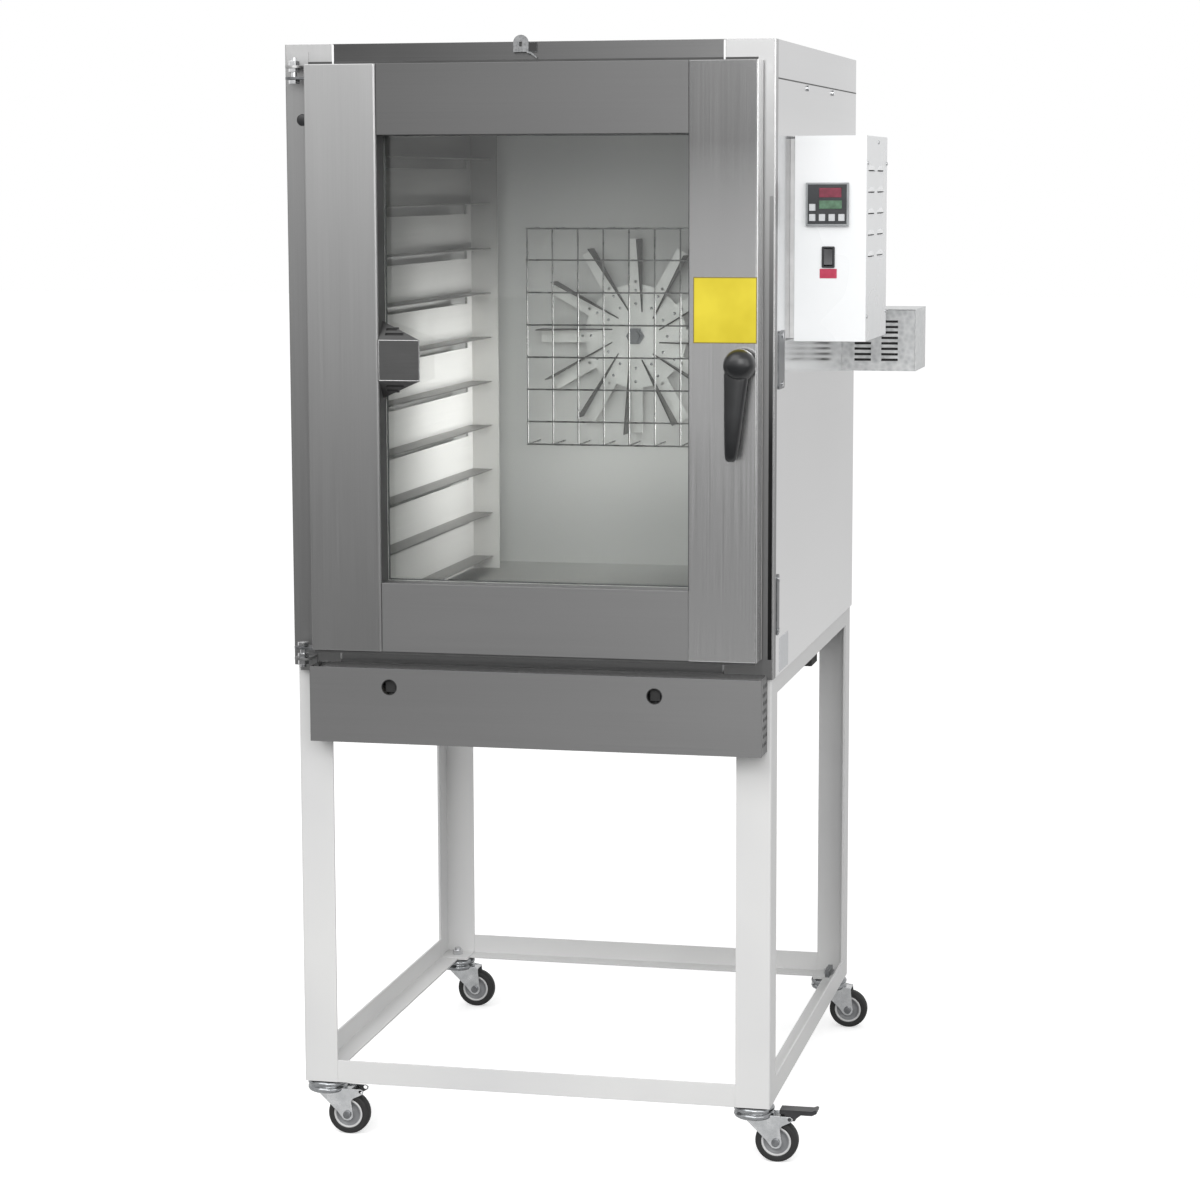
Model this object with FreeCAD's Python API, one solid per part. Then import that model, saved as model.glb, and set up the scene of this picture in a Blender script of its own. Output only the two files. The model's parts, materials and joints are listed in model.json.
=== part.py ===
import FreeCAD, Part
import math
import os

# Convection oven on a castor stand. Millimetres, X right, Y into the oven, Z up.
# Building frame: front frame face at Y 0, middle of the front frame at X 0, floor at Z 0.

# cabinet
frame_half = 420.0
frame_deep = 25.0
stile_width = 85.0
cabinet_deep = 945.0
cabinet_low = 846.0
cabinet_high = 1905.0
cover_skirt = 63.0
sheet = 1.5

# stand and castors
stand_half = frame_half - 4.0
stand_front = 10.0
stand_rear = cabinet_deep + 5.0
leg_flange = 60.0
leg_sheet = 4.0
castor_height = 100.0
rail_flange = 40.0
upper_rail_high = 33.0
corner_plate = 56.0
castor_trail = 0.4 * castor_height
wheel_radius = 0.375 * castor_height
wheel_width = 0.24 * castor_height
hub_radius = wheel_radius - 11.5
fork_half = wheel_width / 2 + 3.0
cheek = 2.5
race_radius = 0.3 * castor_height
race_high = 0.207 * castor_height

# door and window; the door sits to the right of the hinge column
door_middle = 16.0
door_half = frame_half - 35.0
door_left = door_middle - door_half
door_right = door_middle + door_half
door_low = cabinet_low + 36.0
door_high = cabinet_high - 35.0
door_back = -5.0
door_thick = 52.0
door_front = door_back - door_thick
stile_left = 124.0
stile_right = 115.0
rail_tall = 118.0
window_left = door_left + stile_left
window_right = door_right - stile_right
window_low = door_low + rail_tall
window_high = door_high - rail_tall
rail_setback = 2.0
glass_thick = 6.0
glass_back = door_back - 3.2
glass_overlap = 11.0
hinge_x = door_left - 24.0
hinge_y = door_front + 24.0
hinge_plate = 4.0
hinge_half = 15.0
hinge_offset = 19.0
handle_x = door_right - 26.0
handle_z = (door_low + door_high) / 2 + 1.0
handle_deep = 47.0
handle_front = door_front - handle_deep
handle_reach = 158.0

# chamber
chamber_half = frame_half - 69.0
chamber_floor = cabinet_low + 84.0
chamber_roof = cabinet_high - 105.0
chamber_back = cabinet_deep - 105.0
duct_wide = 42.0
baffle_half = chamber_half - duct_wide
baffle_rear = chamber_back - 105.0
baffle_lip = 52.0
level_first = chamber_floor + 24.0
level_pitch = 85.0
level_count = int((chamber_roof - level_first) / level_pitch) + 1
level_flange = 40.0

# fan
fan_z = (chamber_floor + chamber_roof) / 2 + 14.0
fan_face = chamber_back - 39.0
fan_radius = 187.0
fan_disc = 100.0
fan_sheet = 2.0
blade_count = 12
blade_high = 50.0
blade_root = 46.0
arm_width = 27.0
shaft_radius = 10.0
fan_nut = 3 * shaft_radius
fan_collar = 2.7 * shaft_radius
shaft_tail = 50.0
guard_face = baffle_rear + 2.0
guard_cell = 50.0
guard_columns = 8
guard_half_high = fan_radius + 20.0
guard_rows = (0.0, 60.0, 122.0, 184.0, 246.0, 308.0, 370.0, 2 * guard_half_high)
wire_radius = 1.6
motor_radius = 68.0
motor_length = 175.0

# burner space
panel_left = door_left - 8.0
panel_right = door_right + 8.0
panel_high = cabinet_low + 6.0
panel_low = panel_high - 130.0
gutter_low = cabinet_low - 3.0
panel_front = door_front + 7.0
burner_left = 251.0
burner_right = 211.0
burner_places = (door_middle - burner_left, door_middle + burner_right)
burner_z = cabinet_low - 26.0
burner_radius = 22.0
port_first = 110.0
port_pitch = 19.0
port_count = 30
hanger_front = 90.0
hanger_rear = 60.0
hanger_half = 30.0
gas_offset = 319.0
gas_x = door_middle + gas_offset
gas_z = cabinet_low - 80.0
gas_inlet = stand_rear + 45.0
gas_nipple = 22.0
gas_pipe = 11.0
gas_overrun = 25.0
valve_long = 70.0
valve_half = 28.0
valve_low = gas_z - 2 * gas_pipe
valve_high = gas_z + 4 * gas_pipe

# boxes on the right side
box_left = frame_half + 8.0
box_right = box_left + 122.0
box_front = 150.0
box_deep = 265.0
box_rear = box_front + box_deep
box_drop = 155.0
box_high = cabinet_high - box_drop
box_tall = 345.0
box_low = box_high - box_tall
box_sheet = 1.2
meter_x = box_left + 56.5
meter_drop = 114.5
meter_z = box_high - meter_drop
meter_half = 36.0
bezel = 8.0
key_wide = 10.5
key_high = 11.5
switch_x = box_left + 58.0
switch_drop = 203.0
switch_z = box_high - switch_drop
vent_right = frame_half + 141.0
vent_rear = cabinet_deep - 15.0
vent_deep = 150.0
vent_front = vent_rear - vent_deep
vent_low = fan_z - 61.0
vent_tall = 117.0
vent_high = vent_low + vent_tall
vent_rows = 8
vent_row_pitch = 10.3
clip_inset = 310.0
vent_slot = 31.5
vent_slot_high = 4.4
vent_margin = 24.0
vent_column_pitch = vent_slot + 19.5
louvre_first = 141.5
louvre_pitch = 36.0
louvre_rows = 5
louvre_wide = 80.0
louvre_columns = (22.0, 138.0)

gap = 0.3


def point(x, y, z):
    return FreeCAD.Vector(x, y, z)


def block(x0, x1, y0, y1, z0, z1):
    corner = point(min(x0, x1), min(y0, y1), min(z0, z1))
    return Part.makeBox(abs(x1 - x0), abs(y1 - y0), abs(z1 - z0), corner)


def rod(start, direction, radius, length):
    return Part.makeCylinder(radius, length, start, direction)


def prism(points, sweep):
    outline = Part.makePolygon(points + points[:1])
    return Part.Face(outline).extrude(sweep)


def joined(shapes):
    return shapes[0].multiFuse(shapes[1:]).removeSplitter()


def mirrored(shape, x):
    return shape.mirror(point(x, 0, 0), point(1, 0, 0))


def rounded(shape, radius, wanted):
    edges = [edge for edge in shape.Edges if wanted(edge)]
    return shape.makeFillet(radius, edges)


def hexagon(centre, across, height):
    corners = []
    for step in range(6):
        turn = math.radians(60 * step)
        reach = across / math.sqrt(3)
        corners.append(centre + point(reach * math.cos(turn), reach * math.sin(turn), 0))
    return prism(corners, point(0, 0, height))


x_way = point(1, 0, 0)
y_way = point(0, 1, 0)
z_way = point(0, 0, 1)


# Stand

def stand_corner(side, end):
    """Outer corner of a leg: side -1 left, 1 right; end -1 front, 1 rear."""
    return side * stand_half, stand_front if end < 0 else stand_rear


corners = [(-1, -1), (1, -1), (-1, 1), (1, 1)]


def leg(side, end):
    x, y = stand_corner(side, end)
    cross = block(x, x - side * leg_flange, y, y - end * leg_sheet, castor_height, cabinet_low)
    along = block(x, x - side * leg_sheet, y, y - end * leg_flange, castor_height, cabinet_low)
    angle = joined([cross, along])

    def outer(edge):
        middle = edge.CenterOfMass
        return abs(middle.x - x) < 0.01 and abs(middle.y - y) < 0.01
    return rounded(angle, leg_sheet - 0.5, outer)


def angle_rail(x0, x1, y0, y1, inward, low, flange):
    """Angle rail with an upright outer flange and a flat flange turned inward at the bottom."""
    if abs(inward.x) > 0:
        upright = block(x0, x0 + inward.x * leg_sheet, y0, y1, low, low + flange)
        flat = block(x0, x0 + inward.x * rail_flange, y0, y1, low, low + leg_sheet)
    else:
        upright = block(x0, x1, y0, y0 + inward.y * leg_sheet, low, low + flange)
        flat = block(x0, x1, y0, y0 + inward.y * rail_flange, low, low + leg_sheet)
    return joined([upright, flat])


def stand_rails():
    inner = stand_half - leg_flange
    front_end = stand_front + leg_flange
    rear_end = stand_rear - leg_flange
    rails = []
    for low, flange in ((castor_height, rail_flange), (cabinet_low - upper_rail_high, upper_rail_high)):
        rails.append(angle_rail(-stand_half, 0, front_end, rear_end, x_way, low, flange))
        rails.append(angle_rail(stand_half, 0, front_end, rear_end, -x_way, low, flange))
        rails.append(angle_rail(-inner, inner, stand_rear, 0, -y_way, low, flange))
    rails.append(angle_rail(-inner, inner, stand_front, 0, y_way, castor_height, rail_flange))
    return Part.makeCompound(rails)


plate_thick = 5.0
stud_radius = 6.0


def castor_axis(side, end):
    x, y = stand_corner(side, end)
    inset = leg_sheet + corner_plate / 2
    return x - side * inset, y - end * inset


def corner_plates():
    plates = []
    for side, end in corners:
        x, y = castor_axis(side, end)
        half = corner_plate / 2
        plate = block(x - half, x + half, y - half, y + half, castor_height, castor_height + plate_thick)
        hole = rod(point(x, y, castor_height - 1), z_way, stud_radius, plate_thick + 2)
        plates.append(plate.cut(hole))
    return Part.makeCompound(plates)


def castor_stud(x, y):
    top = castor_height + plate_thick
    shaft = rod(point(x, y, crown_low - gap), z_way, stud_radius, top + 14 - crown_low + gap)
    head = rod(point(x, y, crown_low - gap - 3), z_way, 10, 3)
    nut = hexagon(point(x, y, top), 19, 10)
    return joined([shaft, head, nut])


# Castors, wheel trailing towards +X

crown_low = castor_height - gap - race_high
pedal_pin = castor_trail + 24.0
pedal_pin_z = crown_low + 0.5
pedal_end = castor_trail + 71.0
pin_radius = 3.0
axle_radius = 4.0

# fork outlines: distance from the swivel axis, then height from the axle or from the crown
nose = [(-14, 3), (-10, -6)]
shank = [(-18, 4.5), (-10, -5.5), (-6, -9.5), (0, -11), (6, -9.5), (10, -4.5), (10.5, 2.5)]
ear = [(7, -17), (11, -12), (22, -7), (29, -3), (30, 2), (25, 5), (-20, 6)]
plain = [(8, -17), (6, 3), (-20, 6)]


def cheek_plate(x, y, y0, braked):
    """Fork side, from the crown down round the axle; the braked one carries ears for the pedal."""
    axle_x = x + castor_trail
    outline = [point(x + a, y + y0, crown_low + b) for a, b in nose]
    outline += [point(axle_x + a, y + y0, wheel_radius + b) for a, b in shank]
    outline += [point(axle_x + a, y + y0, crown_low + b) for a, b in (ear if braked else plain)]
    return prism(outline, point(0, cheek, 0))


def castor_fork(x, y, braked):
    cup = joined([
        Part.makeCone(race_radius - 5, race_radius, 5, point(x, y, crown_low)),
        rod(point(x, y, crown_low + 5), z_way, race_radius, race_high - 10.7),
        Part.makeCone(race_radius, race_radius - 5, 5.7, point(x, y, crown_low + race_high - 5.7))])
    wide = fork_half + cheek
    crown = block(x - 12, x + castor_trail + 6, y - wide, y + wide, crown_low, crown_low + 3)
    fork = joined([cup, crown, cheek_plate(x, y, fork_half, braked), cheek_plate(x, y, -wide, braked)])
    axle_x = x + castor_trail
    bore = rod(point(x, y, crown_low - 1), z_way, stud_radius + gap, race_high + 2)
    pin_hole = rod(point(x + pedal_pin, y - 30, pedal_pin_z), y_way, pin_radius + gap, 60)
    axle = joined([
        rod(point(axle_x, y - wide, wheel_radius), y_way, axle_radius, 2 * wide),
        rod(point(axle_x, y - wide - 3.5, wheel_radius), y_way, 7, 3.5),
        rod(point(axle_x, y + wide, wheel_radius), y_way, 7, 3.5)])
    return Part.makeCompound([fork.cut(bore).cut(pin_hole).cut(axle), axle])


def castor_hub(x, y):
    axle_x = x + castor_trail
    half = wheel_width / 2
    body = rod(point(axle_x, y - half + 1, wheel_radius), y_way, hub_radius, wheel_width - 2)
    boss = rod(point(axle_x, y - half - 1, wheel_radius), y_way, 9, wheel_width + 2)
    dish = rod(point(axle_x, y, wheel_radius), y_way, hub_radius - 3, half)
    hollow = dish.cut(rod(point(axle_x, y, wheel_radius), y_way, 9, half))
    front = hollow.copy()
    front.translate(point(0, -half - 5, 0))
    rear = hollow.copy()
    rear.translate(point(0, 5, 0))
    bore = rod(point(axle_x, y - 20, wheel_radius), y_way, axle_radius + gap, 40)
    return joined([body, boss]).cut(front).cut(rear).cut(bore)


def castor_tyre(x, y):
    start = point(x + castor_trail, y - wheel_width / 2, wheel_radius)
    ring = rod(start, y_way, wheel_radius, wheel_width).cut(rod(start, y_way, hub_radius, wheel_width))

    def shoulder(edge):
        return abs(edge.BoundBox.XLength - 2 * wheel_radius) < 0.01
    return rounded(ring, 4, shoulder)


def brake_pedal(x, y):
    arm_half = fork_half - 1
    pin_x, low = x + pedal_pin, crown_low + 8
    arm = block(pin_x - 9, pin_x + 9, y - arm_half, y + arm_half, low - 11, low)
    end = x + pedal_end
    outline = [(pin_x - 18, low), (pin_x - 18, low + 8), (end - 9, low + 8), (end - 3, low + 10.5),
               (end, low + 9), (end - 1, low + 4), (end - 9, low), (pin_x + 19, low), (pin_x + 9, low - 8),
               (pin_x + 9, low)]
    tread = prism([point(px, y - arm_half, pz) for px, pz in outline], y_way * (2 * arm_half))
    wide = fork_half + cheek
    pin = rod(point(x + pedal_pin, y - wide, pedal_pin_z), y_way, pin_radius, 2 * wide)
    return joined([arm, tread, pin])


# Cabinet skin

inner_edge = frame_half - stile_width


def hollow_bar(x0, x1, z0, z1, along):
    outer = block(x0, x1, 0, frame_deep, z0, z1)
    y0, y1 = sheet, frame_deep - sheet
    if along == "z":
        inner = block(x0 + sheet, x1 - sheet, y0, y1, z0 - 1, z1 + 1)
    else:
        inner = block(x0 - 1, x1 + 1, y0, y1, z0 + sheet, z1 - sheet)
    return outer.cut(inner)


tongue_half = 30.0
tongue_wide = 12.0


def front_stiles():
    left = hollow_bar(-frame_half, -inner_edge, cabinet_low, cabinet_high, "z")
    right = hollow_bar(inner_edge, frame_half, cabinet_low, cabinet_high, "z")
    high = tongue_half + 6
    slot = block(handle_x - 10, handle_x + 10, -1, sheet + 1, handle_z - high, handle_z + high)
    return left, right.cut(slot)


def front_rail_top():
    return hollow_bar(-inner_edge, inner_edge, chamber_roof, cabinet_high, "x")


def front_rail_bottom():
    bar = hollow_bar(-inner_edge, inner_edge, cabinet_low, chamber_floor, "x")
    x0, x1 = panel_left + sheet + 2 * gap, panel_right - sheet - 2 * gap
    reach = panel_front + sheet + 2 * gap
    trough = block(x0, x1, reach, 0, gutter_low, gutter_low + sheet)
    lip = block(x0, x1, reach, reach + sheet, gutter_low, panel_high - 1)
    back = block(x0, x1, -sheet, 0, gutter_low, panel_high + 2)
    return joined([bar, trough, lip, back])


def flue():
    """Exhaust way from the fan space through the right wall into the vent box."""
    low, high = vent_low + 25, vent_high - 25
    return block(wall_right - 5, frame_half + 5, vent_front + 10, chamber_back - 10, low, high)


def side_panel(side):
    outer = side * frame_half
    panel = block(outer, outer - side * sheet, frame_deep, cabinet_deep,
                  cabinet_low, cabinet_high - cover_skirt)
    return panel.cut(flue())


def back_panel():
    half = frame_half - sheet
    panel = block(-half, half, cabinet_deep - sheet, cabinet_deep, cabinet_low, cabinet_high - cover_skirt)
    return panel.cut(rod(point(door_middle, cabinet_deep - 10, fan_z), y_way, shaft_radius + 6, 20))


def top_cover():
    low = cabinet_high - cover_skirt
    outer = block(-frame_half, frame_half, frame_deep, cabinet_deep, low, cabinet_high)
    half = frame_half - sheet
    return outer.cut(block(-half, half, 0, cabinet_deep - sheet, low - 1, cabinet_high - sheet))


def base_plate():
    half = frame_half - sheet
    plate = block(-half, half, frame_deep, cabinet_deep - sheet, cabinet_low, cabinet_low + sheet)
    for x in burner_places:
        slot = block(x - 24, x + 24, 110, burner_end - 70, cabinet_low - 1, cabinet_low + sheet + 1)
        plate = plate.cut(slot)
    return plate


# Chamber

wall_left = door_middle - chamber_half
wall_right = door_middle + chamber_half


def chamber_liner():
    y0, y1 = frame_deep, chamber_back
    low, high = chamber_floor - sheet, chamber_roof + sheet
    left = block(wall_left - sheet, wall_left, y0, y1, low, high)
    right = block(wall_right, wall_right + sheet, y0, y1, low, high)
    floor = block(wall_left, wall_right, y0, y1, low, chamber_floor)
    roof = block(wall_left, wall_right, y0, y1, chamber_roof, high)
    back = block(wall_left - sheet, wall_right + sheet, y1, y1 + sheet, low, high)
    hole = rod(point(door_middle, y1 - 5, fan_z), y_way, shaft_radius + 3, 20)
    for x in (wall_left + 8, wall_right - duct_wide + 10):
        floor = floor.cut(block(x, x + duct_wide - 18, 100, baffle_rear - 35, low - 1, chamber_floor + 1))
    return Part.makeCompound([left, right.cut(flue()), floor, roof, back.cut(hole)])


slot_high = 18.0
slot_front = 60.0
slot_rear = baffle_rear - 34.0
flange_thick = 2.0
baffle_start = 30.0


def baffle_left():
    face = door_middle - baffle_half
    wall = block(face - sheet, face, baffle_start, baffle_rear, chamber_floor, chamber_roof)
    lip = block(face, face + baffle_lip, baffle_rear - sheet, baffle_rear, chamber_floor, chamber_roof)
    closer = block(wall_left, face - sheet, baffle_start, baffle_start + sheet, chamber_floor, chamber_roof)
    body = joined([wall, lip, closer])
    for level in range(level_count):
        top = level_first + level * level_pitch - flange_thick
        body = body.cut(block(face - 5, face + 5, slot_front, slot_rear, top - slot_high, top))
    return body


def tray_rail_left(level):
    face = door_middle - baffle_half
    top = level_first + level * level_pitch
    y0, y1 = baffle_start + 10, baffle_rear - sheet - 4
    return block(face, face + level_flange, y0, y1, top - flange_thick, top)


def baffles():
    left = baffle_left()
    return Part.makeCompound([left, mirrored(left, door_middle)])


def tray_rails():
    left = [tray_rail_left(level) for level in range(level_count)]
    return Part.makeCompound(left + [mirrored(rail, door_middle) for rail in left])


def insulation():
    edge = frame_half - sheet - gap
    y0, y1 = frame_deep + gap, cabinet_deep - sheet - gap
    low, high = cabinet_low + sheet + gap, cabinet_high - sheet - gap
    left = block(-edge, wall_left - sheet - gap, y0, y1, low, high)
    right = block(wall_right + sheet + gap, edge, y0, y1, low, high)
    inner_left, inner_right = wall_left - sheet, wall_right + sheet
    top = block(inner_left, inner_right, y0, y1, chamber_roof + sheet + gap, high)
    rear = block(inner_left, inner_right, chamber_back + sheet + gap, y1, low, chamber_roof + sheet)
    hole = rod(point(door_middle, chamber_back, fan_z), y_way, shaft_radius + 20, cabinet_deep - chamber_back)
    return Part.makeCompound([left, right.cut(flue()), top, rear.cut(hole)])


# Fan

nut_thick = 9.0


def fan_wheel():
    centre = point(door_middle, fan_face, fan_z)
    pieces = [rod(centre, y_way, fan_disc, fan_sheet)]
    for step in range(blade_count):
        arm = block(-arm_width / 2, arm_width / 2, 0, fan_sheet, 30, fan_radius)
        hole = rod(point(0, -1, fan_disc + 5), y_way, 3, fan_sheet + 2)
        edge = arm_width / 2
        blade = prism([
            point(edge, fan_sheet, blade_root), point(edge, -blade_high, fan_radius),
            point(edge, fan_sheet, fan_radius)], point(-fan_sheet, 0, 0))
        piece = joined([arm.cut(hole), blade])
        piece.rotate(point(0, 0, 0), y_way, 360.0 / blade_count * step)
        piece.translate(centre)
        pieces.append(piece)
    bore = rod(centre - y_way * 5, y_way, shaft_radius, 20)
    return joined(pieces).cut(bore)


def fan_shaft():
    start = point(door_middle, fan_face - nut_thick - 4, fan_z)
    rear = cabinet_deep + shaft_tail
    shaft = rod(start, y_way, shaft_radius, rear - start.y)
    nut = hexagon(point(0, 0, 0), fan_nut, nut_thick)
    nut.rotate(point(0, 0, 0), x_way, -90)
    nut.translate(point(door_middle, fan_face - nut_thick, fan_z))
    collar = rod(point(door_middle, fan_face + fan_sheet, fan_z), y_way, fan_collar, 22)
    return joined([shaft, nut, collar])


def fan_guard():
    left = door_middle - guard_cell * guard_columns / 2
    right = door_middle + guard_cell * guard_columns / 2
    low, high = fan_z - guard_half_high, fan_z + guard_half_high
    wires = []
    for drop in guard_rows:
        start = point(left - wire_radius, guard_face, high - drop)
        wires.append(rod(start, x_way, wire_radius, right - left + 2 * wire_radius))
    behind = guard_face + 2 * wire_radius - 0.4
    back = chamber_back - behind
    for column in range(guard_columns + 1):
        x = left + column * guard_cell
        wires.append(rod(point(x, behind, low), z_way, wire_radius, high - low))
        for z in (low, high):
            wires.append(Part.makeSphere(wire_radius, point(x, behind, z)))
            wires.append(rod(point(x, behind, z), y_way, wire_radius, back))
    return joined(wires)


def motor():
    start = point(door_middle, cabinet_deep, fan_z)
    flange = block(door_middle - 85, door_middle + 85, cabinet_deep, cabinet_deep + 10,
                   fan_z - 85, fan_z + 85)
    body = rod(start, y_way, motor_radius, motor_length - 45)
    fins = []
    for step in range(20):
        fin = block(-1.5, 1.5, 14, motor_length - 55, motor_radius - 3, motor_radius + 7)
        fin.rotate(point(0, 0, 0), y_way, 18 * step)
        fin.translate(start)
        fins.append(fin)
    cowl = rod(start + y_way * (motor_length - 50), y_way, motor_radius + 6, 50)
    cowl = rounded(cowl, 8, lambda edge: abs(edge.CenterOfMass.y - cabinet_deep - motor_length) < 0.01)
    terminal = block(door_middle - 40, door_middle + 40, cabinet_deep + 30, cabinet_deep + 100,
                     fan_z + motor_radius - 8, fan_z + motor_radius + 38)
    bore = rod(start - y_way, y_way, shaft_radius + gap, 53)
    return joined([flange, body, cowl, terminal] + fins).cut(bore)


# Burner space

def burner_panel():
    front = block(panel_left, panel_right, panel_front, panel_front + sheet, panel_low, panel_high)
    left = block(panel_left, panel_left + sheet, panel_front, stand_front, panel_low, panel_high)
    right = block(panel_right - sheet, panel_right, panel_front, stand_front, panel_low, panel_high)
    turn = block(panel_left, panel_right, panel_front, panel_front + 14, panel_low, panel_low + sheet)
    body = joined([front, left, right, turn])
    body = body.cut(block(panel_left - 1, panel_right + 1, 0, stand_front + 1, cabinet_low, panel_high + 1))
    for x in burner_places:
        body = body.cut(rod(point(x, panel_front - 5, burner_z), y_way, 13, 15))
    for row in range(8):
        for column in range(3):
            y = panel_front + 16 + 14 * column + 7 * (row % 2)
            start = point(panel_right - 10, y, panel_low + 18 + 14 * row)
            body = body.cut(rod(start, x_way, 4, 20))
    return body


burner_start = panel_front + 30.0
burner_end = chamber_back - 80.0


def burner(x):
    start = point(x, burner_start, burner_z)
    tube = rod(start, y_way, burner_radius, burner_end - burner_start)
    hangers = []
    for y in (hanger_front, burner_end - hanger_rear):
        hangers.append(block(x - hanger_half, x + hanger_half, y, y + 12, cabinet_low - 3, cabinet_low))
        hangers.append(block(x - 6, x + 6, y, y + 12, burner_z + burner_radius - 2, cabinet_low))
    bore = rod(start - y_way, y_way, burner_radius - 2, burner_end - burner_start - 2)
    body = joined([tube] + hangers).cut(bore)
    for step in range(port_count):
        y = port_first + port_pitch * step
        body = body.cut(block(x - 9, x + 9, y, y + 2,
                              burner_z + burner_radius - 4, burner_z + burner_radius + 1))
    return body


def gas_manifold():
    pipe = gas_pipe
    y = panel_front + sheet + 16
    left = burner_places[0] - gas_overrun
    across = rod(point(left, y, gas_z), x_way, pipe, gas_x - left)
    elbow = Part.makeSphere(pipe, point(gas_x, y, gas_z))
    along = rod(point(gas_x, y, gas_z), y_way, pipe, gas_inlet - y)
    rear = stand_rear - leg_flange - 20
    valve = block(gas_x - valve_half, gas_x + valve_half, rear - valve_long, rear, valve_low, valve_high)
    middle = rear - valve_long / 2
    hanger = block(gas_x - sheet, gas_x + sheet, middle - 10, middle + 10, valve_high - 4, cabinet_low)
    nut = rod(point(gas_x, gas_inlet - gas_nipple - 12, gas_z), y_way, pipe + 5, 12)
    pieces = [across, elbow, along, valve, hanger, nut]
    for x in burner_places:
        pieces.append(rod(point(x, y, gas_z), z_way, 6, burner_z - gas_z))
        pieces.append(block(x - 9, x + 9, y - 9, y + 7, burner_z - 10, burner_z + 10))
        pieces.append(rod(point(x, y, burner_z), y_way, 5, 20))
    bore = rod(point(gas_x, gas_inlet - 40, gas_z), y_way, pipe - 2.5, 41)
    return joined(pieces).cut(bore)


# Boxes on the right side

def vent_box():
    x0, x1 = frame_half, vent_right
    outer = block(x0, x1, vent_front, vent_rear, vent_low, vent_high)
    inner = block(x0 - 1, x1 - sheet, vent_front + sheet, vent_rear - sheet,
                  vent_low + sheet, vent_high - sheet)
    lip = block(x0, x1, vent_front - 7, vent_front, vent_high - sheet, vent_high)
    edge = block(x1 - sheet, x1, vent_front - 7, vent_front, vent_low, vent_high)
    body = joined([outer.cut(inner), lip, edge])
    for column in range(2):
        start = x0 + vent_margin + vent_column_pitch * column
        for row in range(vent_rows):
            z = vent_high - vent_margin - 2 - vent_row_pitch * row
            body = body.cut(block(start, start + vent_slot, vent_front - 1, vent_front + 3,
                                  z, z + vent_slot_high))
    return body


def control_box():
    outer = block(box_left, box_right, box_front, box_rear, box_low, box_high)
    inner = block(box_left + box_sheet, box_right - box_sheet, box_front + box_sheet, box_rear - box_sheet,
                  box_low + box_sheet, box_high - box_sheet)
    body = outer.cut(inner)
    hole = meter_half - 2.5
    body = body.cut(block(meter_x - hole, meter_x + hole, box_front - 1, box_front + 5,
                          meter_z - hole, meter_z + hole))
    body = body.cut(block(switch_x - 9, switch_x + 9, box_front - 1, box_front + 5,
                          switch_z - 16, switch_z + 16))
    for column in louvre_columns:
        y = box_front + column
        for row in range(louvre_rows):
            z = box_low + louvre_first + louvre_pitch * row
            body = body.cut(block(box_right - 3, box_right + 1, y, y + louvre_wide, z, z + 3))
    return body


def key_places():
    """Middle of each key: one beside the windows, four in the lower row."""
    places = [(meter_x - 25.0, meter_z - 5.0)]
    for step in range(4):
        places.append((meter_x - 25.0 + 16.5 * step, meter_z - 22.0))
    return places


key_front = box_front - bezel - 1.2
key_deep = 5.0
key_travel = 0.8


def controller():
    face = block(meter_x - meter_half, meter_x + meter_half, box_front - bezel, box_front,
                 meter_z - meter_half, meter_z + meter_half)
    face = rounded(face, 3, lambda edge: edge.BoundBox.YLength > 5)
    half = meter_half - 2.8
    case = block(meter_x - half, meter_x + half, box_front, box_front + 75, meter_z - half, meter_z + half)
    body = joined([face, case])
    for low, high in ((11.5, 28.0), (-8.0, 6.5)):
        body = body.cut(block(meter_x - 14, meter_x + 25, box_front - bezel - 1, box_front - bezel + 1.5,
                              meter_z + low, meter_z + high))
    for x, z in key_places():
        half_wide, half_high = key_wide / 2 + gap, key_high / 2 + gap
        rear = key_front + key_deep + key_travel + gap
        body = body.cut(block(x - half_wide, x + half_wide, box_front - bezel - 1, rear,
                              z - half_high, z + half_high))
    return body


def key(place):
    x, z = place
    body = block(x - key_wide / 2, x + key_wide / 2, key_front, key_front + key_deep,
                 z - key_high / 2, z + key_high / 2)
    return rounded(body, 1, lambda edge: edge.BoundBox.YLength > 2)


rocker_half = 13.2
rocker_wide = 7.4


def switch_frame():
    rim = block(switch_x - 11, switch_x + 11, box_front - 2.5, box_front, switch_z - 18, switch_z + 18)
    rim = rounded(rim, 2, lambda edge: edge.BoundBox.YLength > 2)
    case = block(switch_x - 9, switch_x + 9, box_front, box_front + 26, switch_z - 16, switch_z + 16)
    well = block(switch_x - rocker_wide - gap, switch_x + rocker_wide + gap, box_front - 5, box_front + 18,
                 switch_z - 15, switch_z + 15)
    return joined([rim, case]).cut(well)


rocker_axis = box_front + 8.0


def rocker():
    front = box_front - 4.5
    side = [(front + 1.6, 0.0), (front, rocker_half), (rocker_axis, rocker_half), (rocker_axis + 5, 3.0),
            (rocker_axis + 5, -3.0), (rocker_axis, -rocker_half), (front, -rocker_half)]
    outline = [point(switch_x - rocker_wide, y, switch_z + z) for y, z in side]
    return prism(outline, point(2 * rocker_wide, 0, 0))


# Door

liner_front = glass_back + 0.2
jamb_end = glass_back - glass_thick - gap


def door_stile(outer, inner, side):
    """Folded stile: face, outer side, window jamb and end caps; side -1 left, 1 right."""
    face = block(outer, inner, door_front, door_front + sheet, door_low, door_high)
    edge = block(outer, outer - side * sheet, door_front, liner_front, door_low, door_high)
    jamb = block(inner, inner + side * sheet, door_front, jamb_end, door_low, door_high)
    low = block(outer, inner, door_front, jamb_end, door_low, door_low + sheet)
    high = block(outer, inner, door_front, jamb_end, door_high - sheet, door_high)
    return joined([face, edge, jamb, low, high])


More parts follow.
